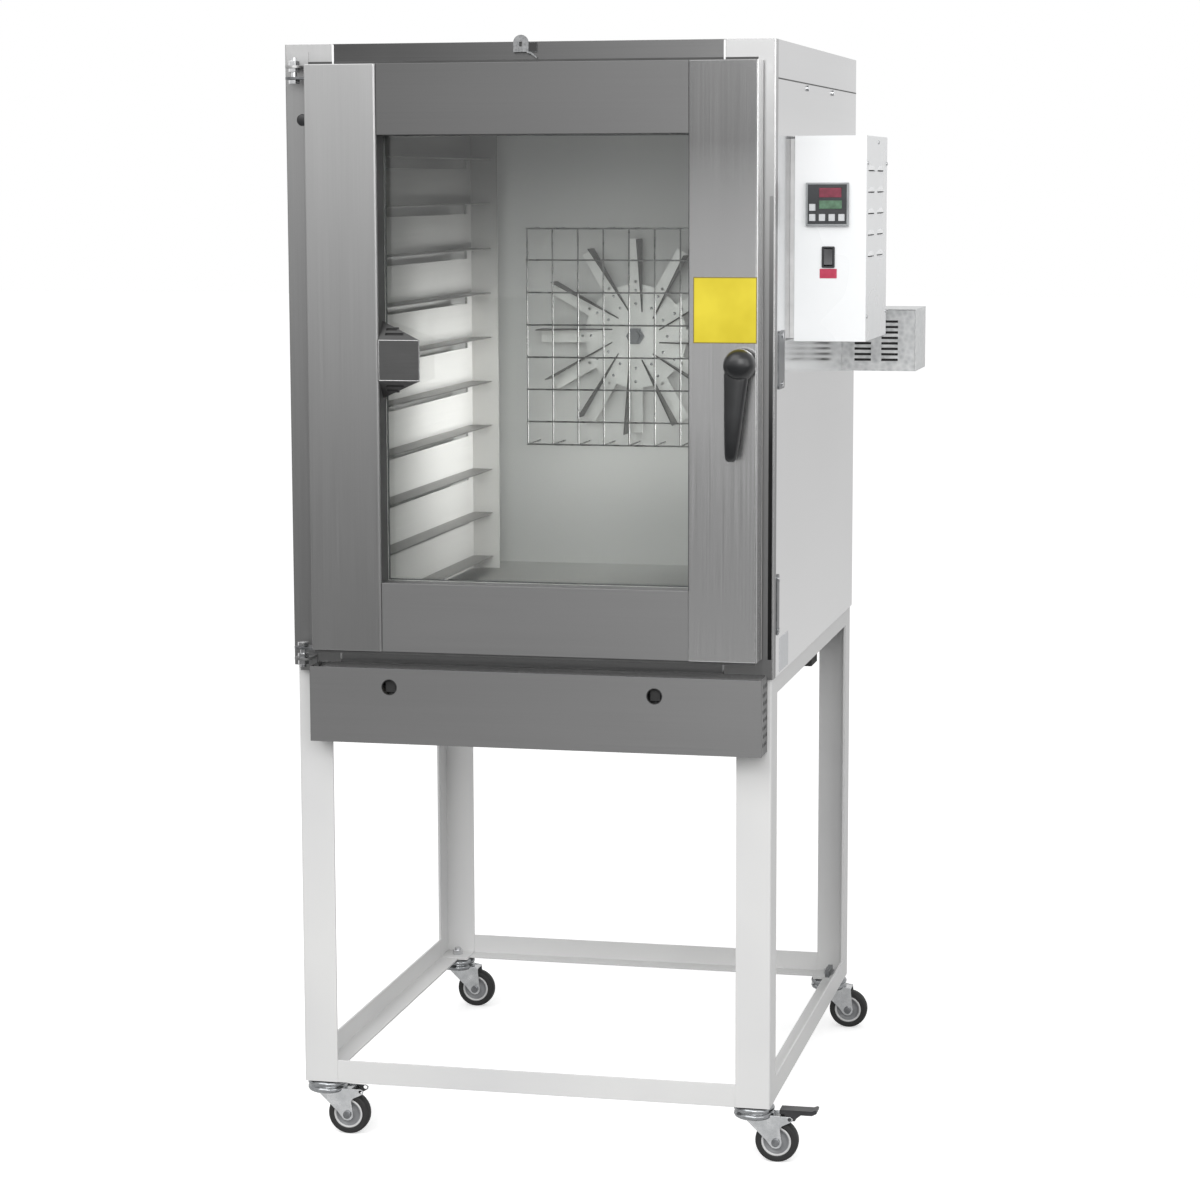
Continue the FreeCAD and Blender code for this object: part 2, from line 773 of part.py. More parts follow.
def spindle_hole():
    return rod(point(handle_x, door_front - 10, handle_z), y_way, spindle_radius + gap, door_thick + 20)


def door_rail(low, high, jamb_low):
    front = door_front + rail_setback
    face = block(window_left, window_right, front, front + sheet, low, high)
    window_side = low if jamb_low else high - sheet
    outer_side = high - sheet if jamb_low else low
    jamb = block(window_left, window_right, front, jamb_end, window_side, window_side + sheet)
    edge = block(window_left, window_right, front, liner_front, outer_side, outer_side + sheet)
    return joined([face, jamb, edge])


def door_rails():
    upper = door_rail(window_high, door_high, True)
    return Part.makeCompound([upper, door_rail(door_low, window_low, False)])


def door_liner():
    plate = block(door_left, door_right, liner_front, door_back, door_low, door_high)
    hole = block(window_left + 2, window_right - 2, liner_front - 1, door_back + 1,
                 window_low + 2, window_high - 2)
    return plate.cut(hole).cut(spindle_hole())


def door_glass():
    pane = block(window_left - glass_overlap, window_right + glass_overlap,
                 glass_back - glass_thick, glass_back,
                 window_low - glass_overlap, window_high + glass_overlap)
    return pane


def door_gasket():
    y0, y1 = door_back, -gap
    wide = 12.0
    x0, x1 = -inner_edge - 16, inner_edge + 16
    z0, z1 = chamber_floor - 18, chamber_roof + 18
    ring = block(x0, x1, y0, y1, z0, z1)
    ring = ring.cut(block(x0 + wide, x1 - wide, y0 - 1, y1 + 1, z0 + wide, z1 - wide))
    return rounded(ring, 1.5, lambda edge: abs(edge.CenterOfMass.y - y1) < 0.01)


# Hinges: door plates sit between the two frame plates

hinge_bolt = 5.0
door_plate_levels = (door_high - 22.5, door_low)
frame_plate_levels = (door_high - 22.5 + hinge_offset, door_low - hinge_offset)


def hinge_door_plates():
    plates = []
    for z in door_plate_levels:
        low = z - hinge_plate / 2
        ear = rod(point(hinge_x, hinge_y, low), z_way, hinge_half, hinge_plate)
        arm = block(hinge_x, door_left, hinge_y - hinge_half, hinge_y + hinge_half, low, low + hinge_plate)
        hole = rod(point(hinge_x, hinge_y, low - 1), z_way, hinge_bolt + gap, hinge_plate + 2)
        plates.append(joined([ear, arm]).cut(hole))
    return Part.makeCompound(plates)


def hinge_frame_plates():
    plates = []
    for z in frame_plate_levels:
        low = z - hinge_plate / 2
        ear = rod(point(hinge_x, hinge_y, low), z_way, hinge_half, hinge_plate)
        arm = block(hinge_x - hinge_half, hinge_x + hinge_half, hinge_y, 0, low, low + hinge_plate)
        away = 26 if z > handle_z else -26
        leaf = block(hinge_x - hinge_half, hinge_x + hinge_half, -3, 0, z, z + away)
        hole = rod(point(hinge_x, hinge_y, low - 1), z_way, hinge_bolt, hinge_plate + 2)
        plates.append(joined([ear, arm, leaf]).cut(hole))
    return Part.makeCompound(plates)


def hinge_pin(door_plate, frame_plate):
    """Bolt with a nut on each side of the frame plate and a head beyond the door plate."""
    way = 1 if frame_plate > door_plate else -1
    half = hinge_plate / 2

    def span(z, length, make):
        low = z if way > 0 else z - length
        return make(point(hinge_x, hinge_y, low), length)

    def nut(start, length):
        return hexagon(start, 17, length)

    def shaft(start, length):
        return rod(start, z_way, hinge_bolt, length)

    head_start = door_plate - way * (half + gap + 7)
    outer_nut = frame_plate + way * half
    return joined([
        span(head_start, 7, nut),
        span(head_start, abs(outer_nut + way * 13 - head_start), shaft),
        span(outer_nut, 8, nut),
        span(frame_plate - way * (half + 7), 7, nut)])


# Handle and latch

spindle_radius = 6.0
handle_clear = 0.3
head_radius = 26.0


def handle():
    rear = door_front - handle_clear
    collar = rod(point(handle_x, rear, handle_z), -y_way, 21, 14)
    head = rod(point(handle_x, rear - 12, handle_z), -y_way, head_radius, rear - 12 - handle_front)
    tip_x, tip_z = handle_x - 11, handle_z - handle_reach
    outline = [(-20, 0), (20, 0), (13, -70)]
    points = [point(handle_x + a, rear - 16, handle_z + b) for a, b in outline]
    points += [point(tip_x + 9, rear - 16, tip_z + 6), point(tip_x + 5, rear - 16, tip_z),
               point(tip_x - 5, rear - 16, tip_z), point(tip_x - 9, rear - 16, tip_z + 6),
               point(handle_x - 17, rear - 16, handle_z - 70)]
    lever = prism(points, point(0, handle_front + 4 - rear + 16, 0))
    socket = rod(point(handle_x, rear + 1, handle_z), -y_way, spindle_radius, 21)
    body = joined([collar, head, lever])
    body = rounded(body, 3, lambda edge: abs(edge.CenterOfMass.y - handle_front) < 0.01)
    return body.cut(socket)


def latch_spindle():
    start = point(handle_x, door_front - handle_clear - 20, handle_z)
    tip = 16.0
    shaft = rod(start, y_way, spindle_radius, tip - start.y)
    half = tongue_wide / 2
    tongue = block(handle_x - half, handle_x + half, tip - 8, tip,
                   handle_z - tongue_half, handle_z + tongue_half)
    return joined([shaft, tongue])


# Lamp on the window's left jamb

lamp_low = handle_z - 34.0
lamp_high = handle_z + 35.0
lamp_right = window_left + 72.0
lamp_sheet = 1.2


def lamp_flap(edge_z, rise):
    front = door_front
    a = point(window_left, front, edge_z)
    b = point(lamp_right, front, edge_z)
    c = point(window_left, front + 27, edge_z + rise)
    sweep = (b - a).cross(c - a).normalize() * lamp_sheet
    if sweep.y < 0:
        sweep = sweep * -1
    flap = prism([a, b, c], sweep)
    for share, length in ((0.3, 32), (0.55, 20)):
        middle = a + (c - a) * share
        low, high = middle.z - 2, middle.z + 2
        flap = flap.cut(block(window_left + 10, window_left + 10 + length, front - 5, front + 40, low, high))
    return flap


def lamp_housing():
    front = door_front
    plate = block(window_left, lamp_right, front, front + lamp_sheet, lamp_low, lamp_high)
    flange = block(window_left, window_left + lamp_sheet, front, front + 30, lamp_low, lamp_high)
    return joined([plate, flange, lamp_flap(lamp_high, 31), lamp_flap(lamp_low, -31)])


def lamp_start():
    return point(window_left + lamp_sheet, door_front + 21, (lamp_low + lamp_high) / 2)


def lamp_holder():
    return rod(lamp_start(), x_way, 14, 24)


def lamp_bulb():
    bulb = Part.makeSphere(15, lamp_start() + x_way * 42)
    neck = Part.makeCone(8, 13, 12, lamp_start() + x_way * 24, x_way)
    return joined([neck, bulb])


# Small outside pieces

bracket_x = -8.0
bracket_low = cabinet_high - 31.0


def top_bracket():
    foot = block(bracket_x + 4, bracket_x + 27, -2, 0, bracket_low + 14, bracket_low + 30)
    tab = block(bracket_x - 13, bracket_x + 13, -4, -2, bracket_low + 14, bracket_low + 29)
    crest = rod(point(bracket_x, -4, bracket_low + 29), y_way, 13, 2)
    outline = ((10, 15.5), (18, 13.5), (27, 6), (27, 3), (17, 10.5), (10, 12.5))
    lip = prism([point(bracket_x + px, -4, bracket_low + pz) for px, pz in outline], y_way * 4)
    slot = block(bracket_x - 2.5, bracket_x + 2.5, -6, 1, bracket_low + 23, bracket_low + 31)
    return joined([foot, tab, crest, lip]).cut(slot)


strike_levels = ((handle_z + 1.5, 97.0, 35.0, 57.0), (cabinet_low + 122.5, 103.0, 27.0, 22.0))


def strike_plates():
    plates = []
    for middle, high, y, wide in strike_levels:
        plate = block(frame_half, frame_half + 2, y, y + wide, middle - high / 2, middle + high / 2)
        plates.append(rounded(plate, 6, lambda edge: edge.BoundBox.XLength > 1))
    return Part.makeCompound(plates)


def fasteners():
    pieces = [castor_stud(*castor_axis(side, end)) for side, end in corners]
    for door_plate, frame_plate in zip(door_plate_levels, frame_plate_levels):
        pieces.append(hinge_pin(door_plate, frame_plate))
    for y in (box_front + 25, box_rear - 25):
        for z in (box_low + 15, box_high - 25):
            pieces.append(rod(point(frame_half, y, z), x_way, 7, box_left - frame_half))
    for middle, high, y, wide in strike_levels:
        for z in (middle - high / 2 + 8, middle + high / 2 - 8):
            pieces.append(rod(point(frame_half + 2, y + wide / 2, z), x_way, 4.5, 2.5))
    for y in (frame_deep + clip_inset, cabinet_deep - clip_inset):
        pieces.append(rod(point(frame_half, y, cabinet_high - cover_skirt - 8), x_way, 5, 3))
    return Part.makeCompound(pieces)


def all_nodes():
    names = {(-1, -1): "front_left", (1, -1): "front_right", (-1, 1): "rear_left", (1, 1): "rear_right"}
    left_stile, right_stile = front_stiles()
    nodes = {
        "stand_legs": Part.makeCompound([leg(side, end) for side, end in corners]),
        "stand_rails": stand_rails(),
        "castor_plates": corner_plates(),
        "front_stiles": Part.makeCompound([left_stile, right_stile]),
        "front_rails": Part.makeCompound([front_rail_top(), front_rail_bottom()]),
        "side_panel_left": side_panel(-1),
        "side_panel_right": side_panel(1),
        "back_panel": back_panel(),
        "top_cover": top_cover(),
        "base_plate": base_plate(),
        "chamber_liner": chamber_liner(),
        "baffles": baffles(),
        "tray_rails": tray_rails(),
        "insulation": insulation(),
        "fan_wheel": fan_wheel(),
        "fan_shaft": fan_shaft(),
        "fan_guard": fan_guard(),
        "motor": motor(),
        "burner_panel": burner_panel(),
        "burners": Part.makeCompound([burner(x) for x in burner_places]),
        "gas_manifold": gas_manifold(),
        "vent_box": vent_box(),
        "control_box": control_box(),
        "controller": controller(),
        "switch_frame": switch_frame(),
        "rocker": rocker(),
        "door_stile_left": door_stile(door_left, window_left, -1),
        "door_stile_right": door_stile(door_right, window_right, 1).cut(spindle_hole()),
        "door_rails": door_rails(),
        "door_liner": door_liner(),
        "door_glass": door_glass(),
        "door_gasket": door_gasket(),
        "hinge_door_plates": hinge_door_plates(),
        "hinge_frame_plates": hinge_frame_plates(),
        "handle": handle(),
        "latch_spindle": latch_spindle(),
        "lamp_housing": lamp_housing(),
        "lamp_holder": lamp_holder(),
        "lamp_bulb": lamp_bulb(),
        "top_bracket": top_bracket(),
        "strike_plates": strike_plates(),
        "fasteners": fasteners(),
    }
    for number, place in enumerate(key_places(), 1):
        nodes["key_%d" % number] = key(place)
    for corner in corners:
        x, y = castor_axis(*corner)
        nodes["castor_fork_" + names[corner]] = castor_fork(x, y, corner[1] < 0)
        nodes["castor_wheel_" + names[corner]] = castor_hub(x, y)
        nodes["castor_tyre_" + names[corner]] = castor_tyre(x, y)
        if corner == (1, -1):
            nodes["brake_pedal_" + names[corner]] = brake_pedal(x, y)
    return nodes


# The library origin is the middle of the outer box on the floor
to_origin = point((frame_half - vent_right) / 2, -(handle_front + cabinet_deep + motor_length) / 2, 0)

os.makedirs("parts", exist_ok=True)
for name, shape in all_nodes().items():
    shape.translate(to_origin)
    shape.exportStep("parts/%s.step" % name)
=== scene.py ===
import json
import math

import bmesh
import bpy
from mathutils import Matrix, Vector


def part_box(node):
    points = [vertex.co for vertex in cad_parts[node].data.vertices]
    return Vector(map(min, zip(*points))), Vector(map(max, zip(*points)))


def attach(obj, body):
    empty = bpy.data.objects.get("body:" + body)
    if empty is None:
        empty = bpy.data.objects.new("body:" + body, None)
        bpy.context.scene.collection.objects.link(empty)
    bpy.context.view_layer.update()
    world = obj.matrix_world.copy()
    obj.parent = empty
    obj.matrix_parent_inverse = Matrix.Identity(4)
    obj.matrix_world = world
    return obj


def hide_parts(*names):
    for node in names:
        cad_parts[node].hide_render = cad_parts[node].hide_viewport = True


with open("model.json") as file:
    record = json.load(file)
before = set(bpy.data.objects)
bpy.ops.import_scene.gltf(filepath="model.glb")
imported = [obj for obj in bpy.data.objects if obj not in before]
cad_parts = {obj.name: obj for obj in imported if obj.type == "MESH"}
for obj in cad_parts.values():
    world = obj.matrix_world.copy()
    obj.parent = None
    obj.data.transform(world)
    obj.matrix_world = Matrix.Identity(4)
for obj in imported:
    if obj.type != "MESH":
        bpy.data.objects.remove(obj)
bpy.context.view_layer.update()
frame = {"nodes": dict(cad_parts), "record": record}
print("frame loaded", len(frame["nodes"]), "nodes")

record = frame["record"]
bodyOf = {node: body for body, members in record["behaviour"]["bodies"].items() for node in members}
slotOf = {entry["node"]: entry["material_slot"] for entry in record["subparts"]}

stileLow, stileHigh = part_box("front_stiles")
faceMiddle = (stileLow.x + stileHigh.x) / 2  # middle of the front frame
faceLine = stileLow.y  # front face of the front frame


def spot(x, y, z):  # millimetres from the middle of the front frame's face, at floor level
    return Vector((faceMiddle + x / 1000, faceLine + y / 1000, z / 1000))


# materials

def hexColour(code):
    channels = [int(code[start:start + 2], 16) / 255 for start in (1, 3, 5)]
    return [c / 12.92 if c <= 0.04045 else ((c + 0.055) / 1.055) ** 2.4 for c in channels] + [1.0]


def addNode(tree, kind, inputs=None, **settings):
    node = tree.nodes.new(kind)
    for name, value in settings.items():
        setattr(node, name, value)
    for name, value in (inputs or {}).items():
        if isinstance(value, bpy.types.NodeSocket):
            tree.links.new(value, node.inputs[name])
        else:
            node.inputs[name].default_value = value
    return node


def startMaterial(name):
    material = bpy.data.materials.new(name)
    material.use_nodes = True
    tree = material.node_tree
    tree.nodes.clear()
    return material, tree, addNode(tree, "ShaderNodeTexCoord").outputs["Object"]


def perMetre(*sizes):  # pattern scale for features of these millimetres
    return [1000 / size for size in sizes]


noiseBand = (0.3, 0.7)  # most of a noise texture lies between these values
spangleBand = (0.2, 0.75)


def surfaced(tree, look, band, tone, gloss, height, depth, extra):
    # two tones and a span of roughness follow the pattern across its band; its height is the bump
    shade, spread = [addNode(tree, "ShaderNodeMapRange",
                             {"Value": value, "From Min": band[0], "From Max": band[1]}).outputs[0]
                     for value in (tone, gloss)]
    dark, light = hexColour(look["dark"]), hexColour(look["light"])
    colour = addNode(tree, "ShaderNodeMix", {0: shade, 6: dark, 7: light}, data_type="RGBA")
    rough = addNode(tree, "ShaderNodeMix", {0: spread, 2: look["rough"][0], 3: look["rough"][1]},
                    data_type="FLOAT")
    bump = addNode(tree, "ShaderNodeBump", {"Height": height, "Strength": look["bump"], "Distance": depth})
    shader = addNode(tree, "ShaderNodeBsdfPrincipled",
                     {"Base Color": colour.outputs[2], "Roughness": rough.outputs[0],
                      "Normal": bump.outputs[0], **extra})
    addNode(tree, "ShaderNodeOutputMaterial", {"Surface": shader.outputs[0]})


def sheetSteel(name, look):
    # stainless sheet: rolling or brushing leaves fine parallel lines that stretch a highlight across them
    material, tree, place = startMaterial(name)
    lines = addNode(tree, "ShaderNodeMapping", {"Vector": place, "Scale": perMetre(*look["line"])})
    scratch = addNode(tree, "ShaderNodeTexNoise", {"Vector": lines.outputs[0], "Scale": 1.0, "Detail": 4.0,
                                                   "Roughness": 0.65}).outputs["Fac"]
    clouds = addNode(tree, "ShaderNodeMapping", {"Vector": place, "Scale": perMetre(*look["cloud"])})
    drift = addNode(tree, "ShaderNodeTexNoise", {"Vector": clouds.outputs[0], "Scale": 1.0, "Detail": 1.0})
    tone = addNode(tree, "ShaderNodeMix", {0: look["cloudShare"], 2: scratch, 3: drift.outputs["Fac"]},
                   data_type="FLOAT").outputs[0]
    if "sweep" in look:  # painted shade: the tone darkens along one axis towards one end, where less light falls
        axis, shadedEnd, litEnd, share = look["sweep"]
        along = addNode(tree, "ShaderNodeSeparateXYZ", {"Vector": place}).outputs[axis]
        start, end = [getattr(spot(level, level, level), axis.lower()) for level in (shadedEnd, litEnd)]
        paintedShade = addNode(tree, "ShaderNodeMapRange", {"Value": along, "From Min": start, "From Max": end,
                                                    "To Min": noiseBand[0], "To Max": noiseBand[1]})
        tone = addNode(tree, "ShaderNodeMix", {0: share, 2: tone, 3: paintedShade.outputs[0]},
                       data_type="FLOAT").outputs[0]
    across = addNode(tree, "ShaderNodeTangent", direction_type="RADIAL", axis=look["across"])
    surfaced(tree, look, noiseBand, tone, scratch, scratch, 0.0004,
             {"Metallic": 1.0, "Anisotropic": look["anisotropic"], "Tangent": across.outputs[0]})
    return material


# brush lines are really about 0.2 mm apart; they are drawn about 2.5 mm apart so that they show
doorBrush = {"line": (2.5, 2.5, 320), "cloud": (90, 90, 900), "cloudShare": 0.5, "bump": 0.02, "across": "Z"}
postBrush = {"line": (2.5, 2.5, 300), "cloud": (60, 60, 500), "cloudShare": 0.4, "bump": 0.02, "across": "Z",
             "rough": (0.38, 0.44), "anisotropic": 0.6}
railBrush = {"line": (320, 2.5, 2.5), "cloud": (700, 90, 160), "cloudShare": 0.5, "bump": 0.02, "across": "X",
             "anisotropic": 0.75}
ovenRoll = {"line": (4, 400, 4), "cloudShare": 0.6, "bump": 0.02, "across": "X"}
sheets = {
    # hinge side of the door, brushed upright: an even satin
    "stainlessBrushedUpright": {**doorBrush, "dark": "#a2a2a2", "light": "#adadad", "rough": (0.34, 0.40),
                                "anisotropic": 0.7},
    # latch side, brushed fine: clear enough to mirror the lever; darker towards the top, which is painted
    # shade
    "stainlessBrushedLatchSide": {**doorBrush, "dark": "#787878", "light": "#f2f2f2", "rough": (0.18, 0.24),
                                  "anisotropic": 0.3, "sweep": ("Z", 1740, 1280, 0.94)},
    # rails and panel, brushed along: dull; darker the higher and further left they are, which is painted
    # shade
    "stainlessBrushedLevel": {**railBrush, "dark": "#747474", "light": "#828282", "rough": (0.46, 0.52),
                              "sweep": ("X", -300, 350, 0.5)},
    "stainlessBrushedShadedUpper": {**railBrush, "dark": "#606060", "light": "#7a7a7a", "rough": (0.46, 0.52),
                              "sweep": ("X", -250, 350, 0.7)},
    "stainlessBrushedShade": {**railBrush, "dark": "#484848", "light": "#7c7c7c", "rough": (0.44, 0.50),
                              "sweep": ("X", -320, 320, 0.8)},
    # lamp housing, brushed along and folded: grey satin
    "stainlessFoldedHousing": {**railBrush, "line": (100, 2.5, 2.5), "cloud": (80, 80, 80), "dark": "#545454",
                               "light": "#606060", "rough": (0.40, 0.46), "anisotropic": 0.5},
    # front frame, brushed upright: paler at its upper corners and darker lower down, which is painted
    # highlight and shade
    "stainlessBrushedBright": {**postBrush, "dark": "#909090", "light": "#bababa",
                               "sweep": ("Z", 1830, 1890, 0.85)},
    "stainlessBrushedPost": {**postBrush, "dark": "#8c8c8c", "light": "#b6b6b6",
                             "sweep": ("Z", 1480, 1905, 0.9)},
    # the fold beside the door: a painted shadow, a dark line that fades upwards
    "stainlessBrushedFoldShadow": {**postBrush, "dark": "#262626", "light": "#858585",
                             "sweep": ("Z", 1240, 1640, 0.95)},
    # folded edges, polished by hand: a thin bright line, partly a painted highlight, since this copy of the
    # stainless is paler than the rest
    "stainlessPolishedHighlight": {**postBrush, "dark": "#d2d2d2", "light": "#dddddd", "rough": (0.22, 0.28),
                                "anisotropic": 0.4},
    # outer skin, bright rolled: half a mirror, with broad soft clouds, and darker towards the top, which is
    # painted shade
    "stainlessPolishedSkin": {"line": (6, 500, 6), "cloud": (500, 700, 400), "cloudShare": 0.7,
                              "dark": "#acacad", "light": "#efefef", "rough": (0.12, 0.17), "bump": 0.01,
                              "anisotropic": 0.2, "across": "X", "sweep": ("Z", 1800, 1350, 0.85)},
    # baffles and liners, cold rolled and baked: matt, and darker towards the roof, which is painted shade
    "stainlessChamberRolled": {**ovenRoll, "cloud": (300, 300, 500), "dark": "#6a6967", "light": "#e8e7e5",
                               "rough": (0.80, 0.88), "anisotropic": 0.1, "sweep": ("Z", 1750, 1380, 0.8)},
    "stainlessChamberRear": {"line": (3.5, 4, 420), "cloud": (250, 300, 600), "cloudShare": 0.5,
                             "dark": "#aaaaa9", "light": "#d2d2d0", "rough": (0.52, 0.60), "bump": 0.02,
                             "anisotropic": 0.5, "across": "Z", "sweep": ("Z", 1790, 1350, 0.7)},
    # tray ledges, rolled and folded: satin grey, a darker copy of the chamber steel as painted shade
    "stainlessFoldedLedge": {**ovenRoll, "cloud": (300, 300, 300), "dark": "#8a8988", "light": "#9a9997",
                             "rough": (0.36, 0.44), "anisotropic": 0.3},
    # drip gutter, brushed along: wet-looking
    "stainlessFoldedGutter": {**railBrush, "dark": "#8a8a8a", "light": "#969696", "rough": (0.20, 0.26),
                              "anisotropic": 0.4},
}
finish = {name: sheetSteel(name, look) for name, look in sheets.items()}


def coated(name, look):
    # paint, enamel or moulded plastic: an even colour whose skin has a fine orange peel or mould grain
    material, tree, place = startMaterial(name)
    grain = addNode(tree, "ShaderNodeTexNoise",
                    {"Vector": place, "Scale": 1000 / look["grain"], "Detail": 3.0, "Roughness": 0.55})
    patch = addNode(tree, "ShaderNodeTexNoise",
                    {"Vector": place, "Scale": 1000 / look["patch"], "Detail": 2.0}).outputs["Fac"]
    surfaced(tree, look, noiseBand, patch, patch, grain.outputs["Fac"], 0.0005,
             {"IOR": 1.5, "Coat Weight": look.get("coat", 0.0), "Coat Roughness": 0.08})
    return material


coatingColumns = ("dark", "light", "grain", "patch", "rough", "bump", "coat")  # grain and patch in mm
coatings = {
    # polyester powder coat, baked: soft orange peel about 3 mm across
    "powderCoatWhite": ("#d6d6d6", "#dededd", 3, 260, (0.32, 0.44), 0.06),
    # stoved enamel on flat sheet: smoother and whiter than the stand
    "enamelWhiteStoved": ("#f0f2f3", "#f6f7f8", 4, 200, (0.24, 0.32), 0.03),
    # machine enamel on castings: thick, slightly wavy
    "enamelGreyMachine": ("#5d646a", "#70777d", 5, 60, (0.36, 0.5), 0.12),
    # heat-proof paint on pipework: dull and nearly black; the same black stands as painted shade in holes,
    # slots and recesses
    "stovePaintBlackAndShade": ("#262626", "#333333", 3, 40, (0.6, 0.72), 0.1),
    # glass-filled nylon, moulded: fine spark-eroded grain
    "nylonBlackMoulded": ("#212123", "#2e2e31", 1.6, 40, (0.32, 0.42), 0.05),
    # phenolic, compression moulded and polished: deep black with a soft gloss
    "phenolicBlackPolished": ("#131415", "#1b1c1e", 2, 40, (0.28, 0.36), 0.02, 0.1),
    # weld bead, ground and polished: a white line that is a painted highlight
    "weldBeadPaintedHighlight": ("#f6f6f6", "#ffffff", 2, 20, (0.24, 0.34), 0.04),
    # polypropylene, moulded: waxy and slightly clouded
    "polypropyleneGreyMoulded": ("#7e7f81", "#929395", 2, 25, (0.38, 0.48), 0.05),
    "polypropylenePaleMoulded": ("#c6c6c6", "#d6d6d6", 2, 25, (0.35, 0.45), 0.04),
    # vulcanised rubber: dull, with worn pale patches
    "rubberBlackVulcanised": ("#141414", "#232323", 2.2, 18, (0.6, 0.78), 0.12),
    # silicone, extruded: dull dark strip; the same grey stands as painted shadow in the gaps round the door
    # and under the skirt
    "siliconeGreyAndShadow": ("#3a3a3a", "#4a4a4a", 2.5, 60, (0.5, 0.62), 0.06),
    # ABS, moulded with a fine texture: an even half-dull colour
    "absCharcoalMoulded": ("#2b2d30", "#35373a", 1.2, 30, (0.3, 0.4), 0.04),
    "absGreyMoulded": ("#464648", "#565658", 1.2, 30, (0.3, 0.4), 0.04),
    "absSilverMoulded": ("#8f9294", "#a3a6a8", 1.2, 30, (0.3, 0.4), 0.03),
    "absPaleMoulded": ("#c4c6c9", "#d3d5d7", 1.2, 8, (0.3, 0.4), 0.03),
    # vinyl film with a matt lacquer: flat, strong colour
    "vinylYellowFilm": ("#cdba1e", "#dac82b", 2.5, 50, (0.36, 0.46), 0.02),
    "vinylOchreFilm": ("#77681c", "#84742a", 2.5, 50, (0.4, 0.5), 0.02),
    "vinylRedFilm": ("#b02a48", "#c2395a", 2.5, 12, (0.34, 0.44), 0.02),
    # acrylic window over a display: deep colour under a hard gloss
    "acrylicRedWindow": ("#6d1b30", "#862540", 3, 9, (0.12, 0.2), 0.01, 0.6),
    "acrylicGreenWindow": ("#48684f", "#5d8367", 3, 9, (0.12, 0.2), 0.01, 0.6),
    # steatite, fired: pale and slightly speckled
    "steatiteCreamFired": ("#cfcabd", "#dedacf", 1.4, 8, (0.4, 0.55), 0.06),
    # mineral wool slab: matted fibre
    "mineralWoolSlab": ("#8c8360", "#b3a983", 6, 22, (0.85, 0.95), 0.8),
}
finish.update({name: coated(name, dict(zip(coatingColumns, row))) for name, row in coatings.items()})


def platedSteel(name, look):
    # zinc on steel and plain sheet: bright and bluish, spangled where dipped, stained where hot
    material, tree, place = startMaterial(name)
    spangle = addNode(tree, "ShaderNodeTexVoronoi", {"Vector": place, "Scale": 1000 / look["spangle"]})
    stain = addNode(tree, "ShaderNodeTexNoise",
                    {"Vector": place, "Scale": 1000 / look["stain"], "Detail": 4.0}).outputs["Fac"]
    mixed = addNode(tree, "ShaderNodeMix", {0: look["stainShare"], 2: spangle.outputs["Distance"], 3: stain},
                    data_type="FLOAT").outputs[0]
    surfaced(tree, look, spangleBand, mixed, mixed, stain, 0.0003, {"Metallic": 1.0})
    return material


platingColumns = ("spangle", "stain", "stainShare", "dark", "light", "rough", "bump")  # first two in mm
platings = {
    # hot-dip galvanised sheet: crystals about 9 mm across
    "galvanisedSheetSpangled": (9, 30, 0.4, "#c4c6c7", "#dfe0e0", (0.34, 0.50), 0.06),
    # electroplated zinc, passivated: bright, faintly streaked
    "zincElectroplated": (2, 14, 0.8, "#a6a8aa", "#d2d3d4", (0.16, 0.30), 0.05),
    # zinc plated bright for bolts and nuts: nearly a mirror
    "zincBrightPlated": (2, 14, 0.8, "#b4b6b8", "#e0e0e1", (0.10, 0.18), 0.05),
    # zinc plated cup, pressed from sheet: it mirrors in bands; its greyer tone is painted shade standing for
    # the dark it mirrors
    "zincPressedRace": (2, 14, 0.8, "#747678", "#a0a2a4", (0.14, 0.22), 0.02),
    # the same zinc under a dark passivation: grey and half dull
    "zincDarkPassivated": (2, 14, 0.8, "#5e6062", "#868789", (0.30, 0.42), 0.05),
    # galvanised strip gone grey with age: mottled and dull
    "galvanisedStripAged": (4, 9, 0.5, "#6c6d6e", "#9a9b9c", (0.46, 0.60), 0.1),
    # drawn stainless wire: bright where it turns to the lamps
    "stainlessWireDrawn": (2, 25, 0.9, "#6c6c6b", "#8a8a89", (0.22, 0.34), 0.03),
    # stainless fan sheet, laser cut and left plain: pale and even
    "stainlessFanPlain": (3, 60, 0.85, "#c6c6c4", "#dededb", (0.40, 0.52), 0.03),
    # the fan's blades: the same sheet, in a darker brown-grey that is painted shade for the blades turned
    # from the lamps
    "stainlessFanBladeShade": (3, 50, 0.85, "#4a4947", "#62615f", (0.36, 0.48), 0.03),
    # aluminised burner tube: dull, heat stained
    "aluminisedSteelTube": (3, 45, 0.7, "#6c6862", "#8d8983", (0.42, 0.6), 0.08),
}
finish.update({name: platedSteel(name, dict(zip(platingColumns, row))) for name, row in platings.items()})


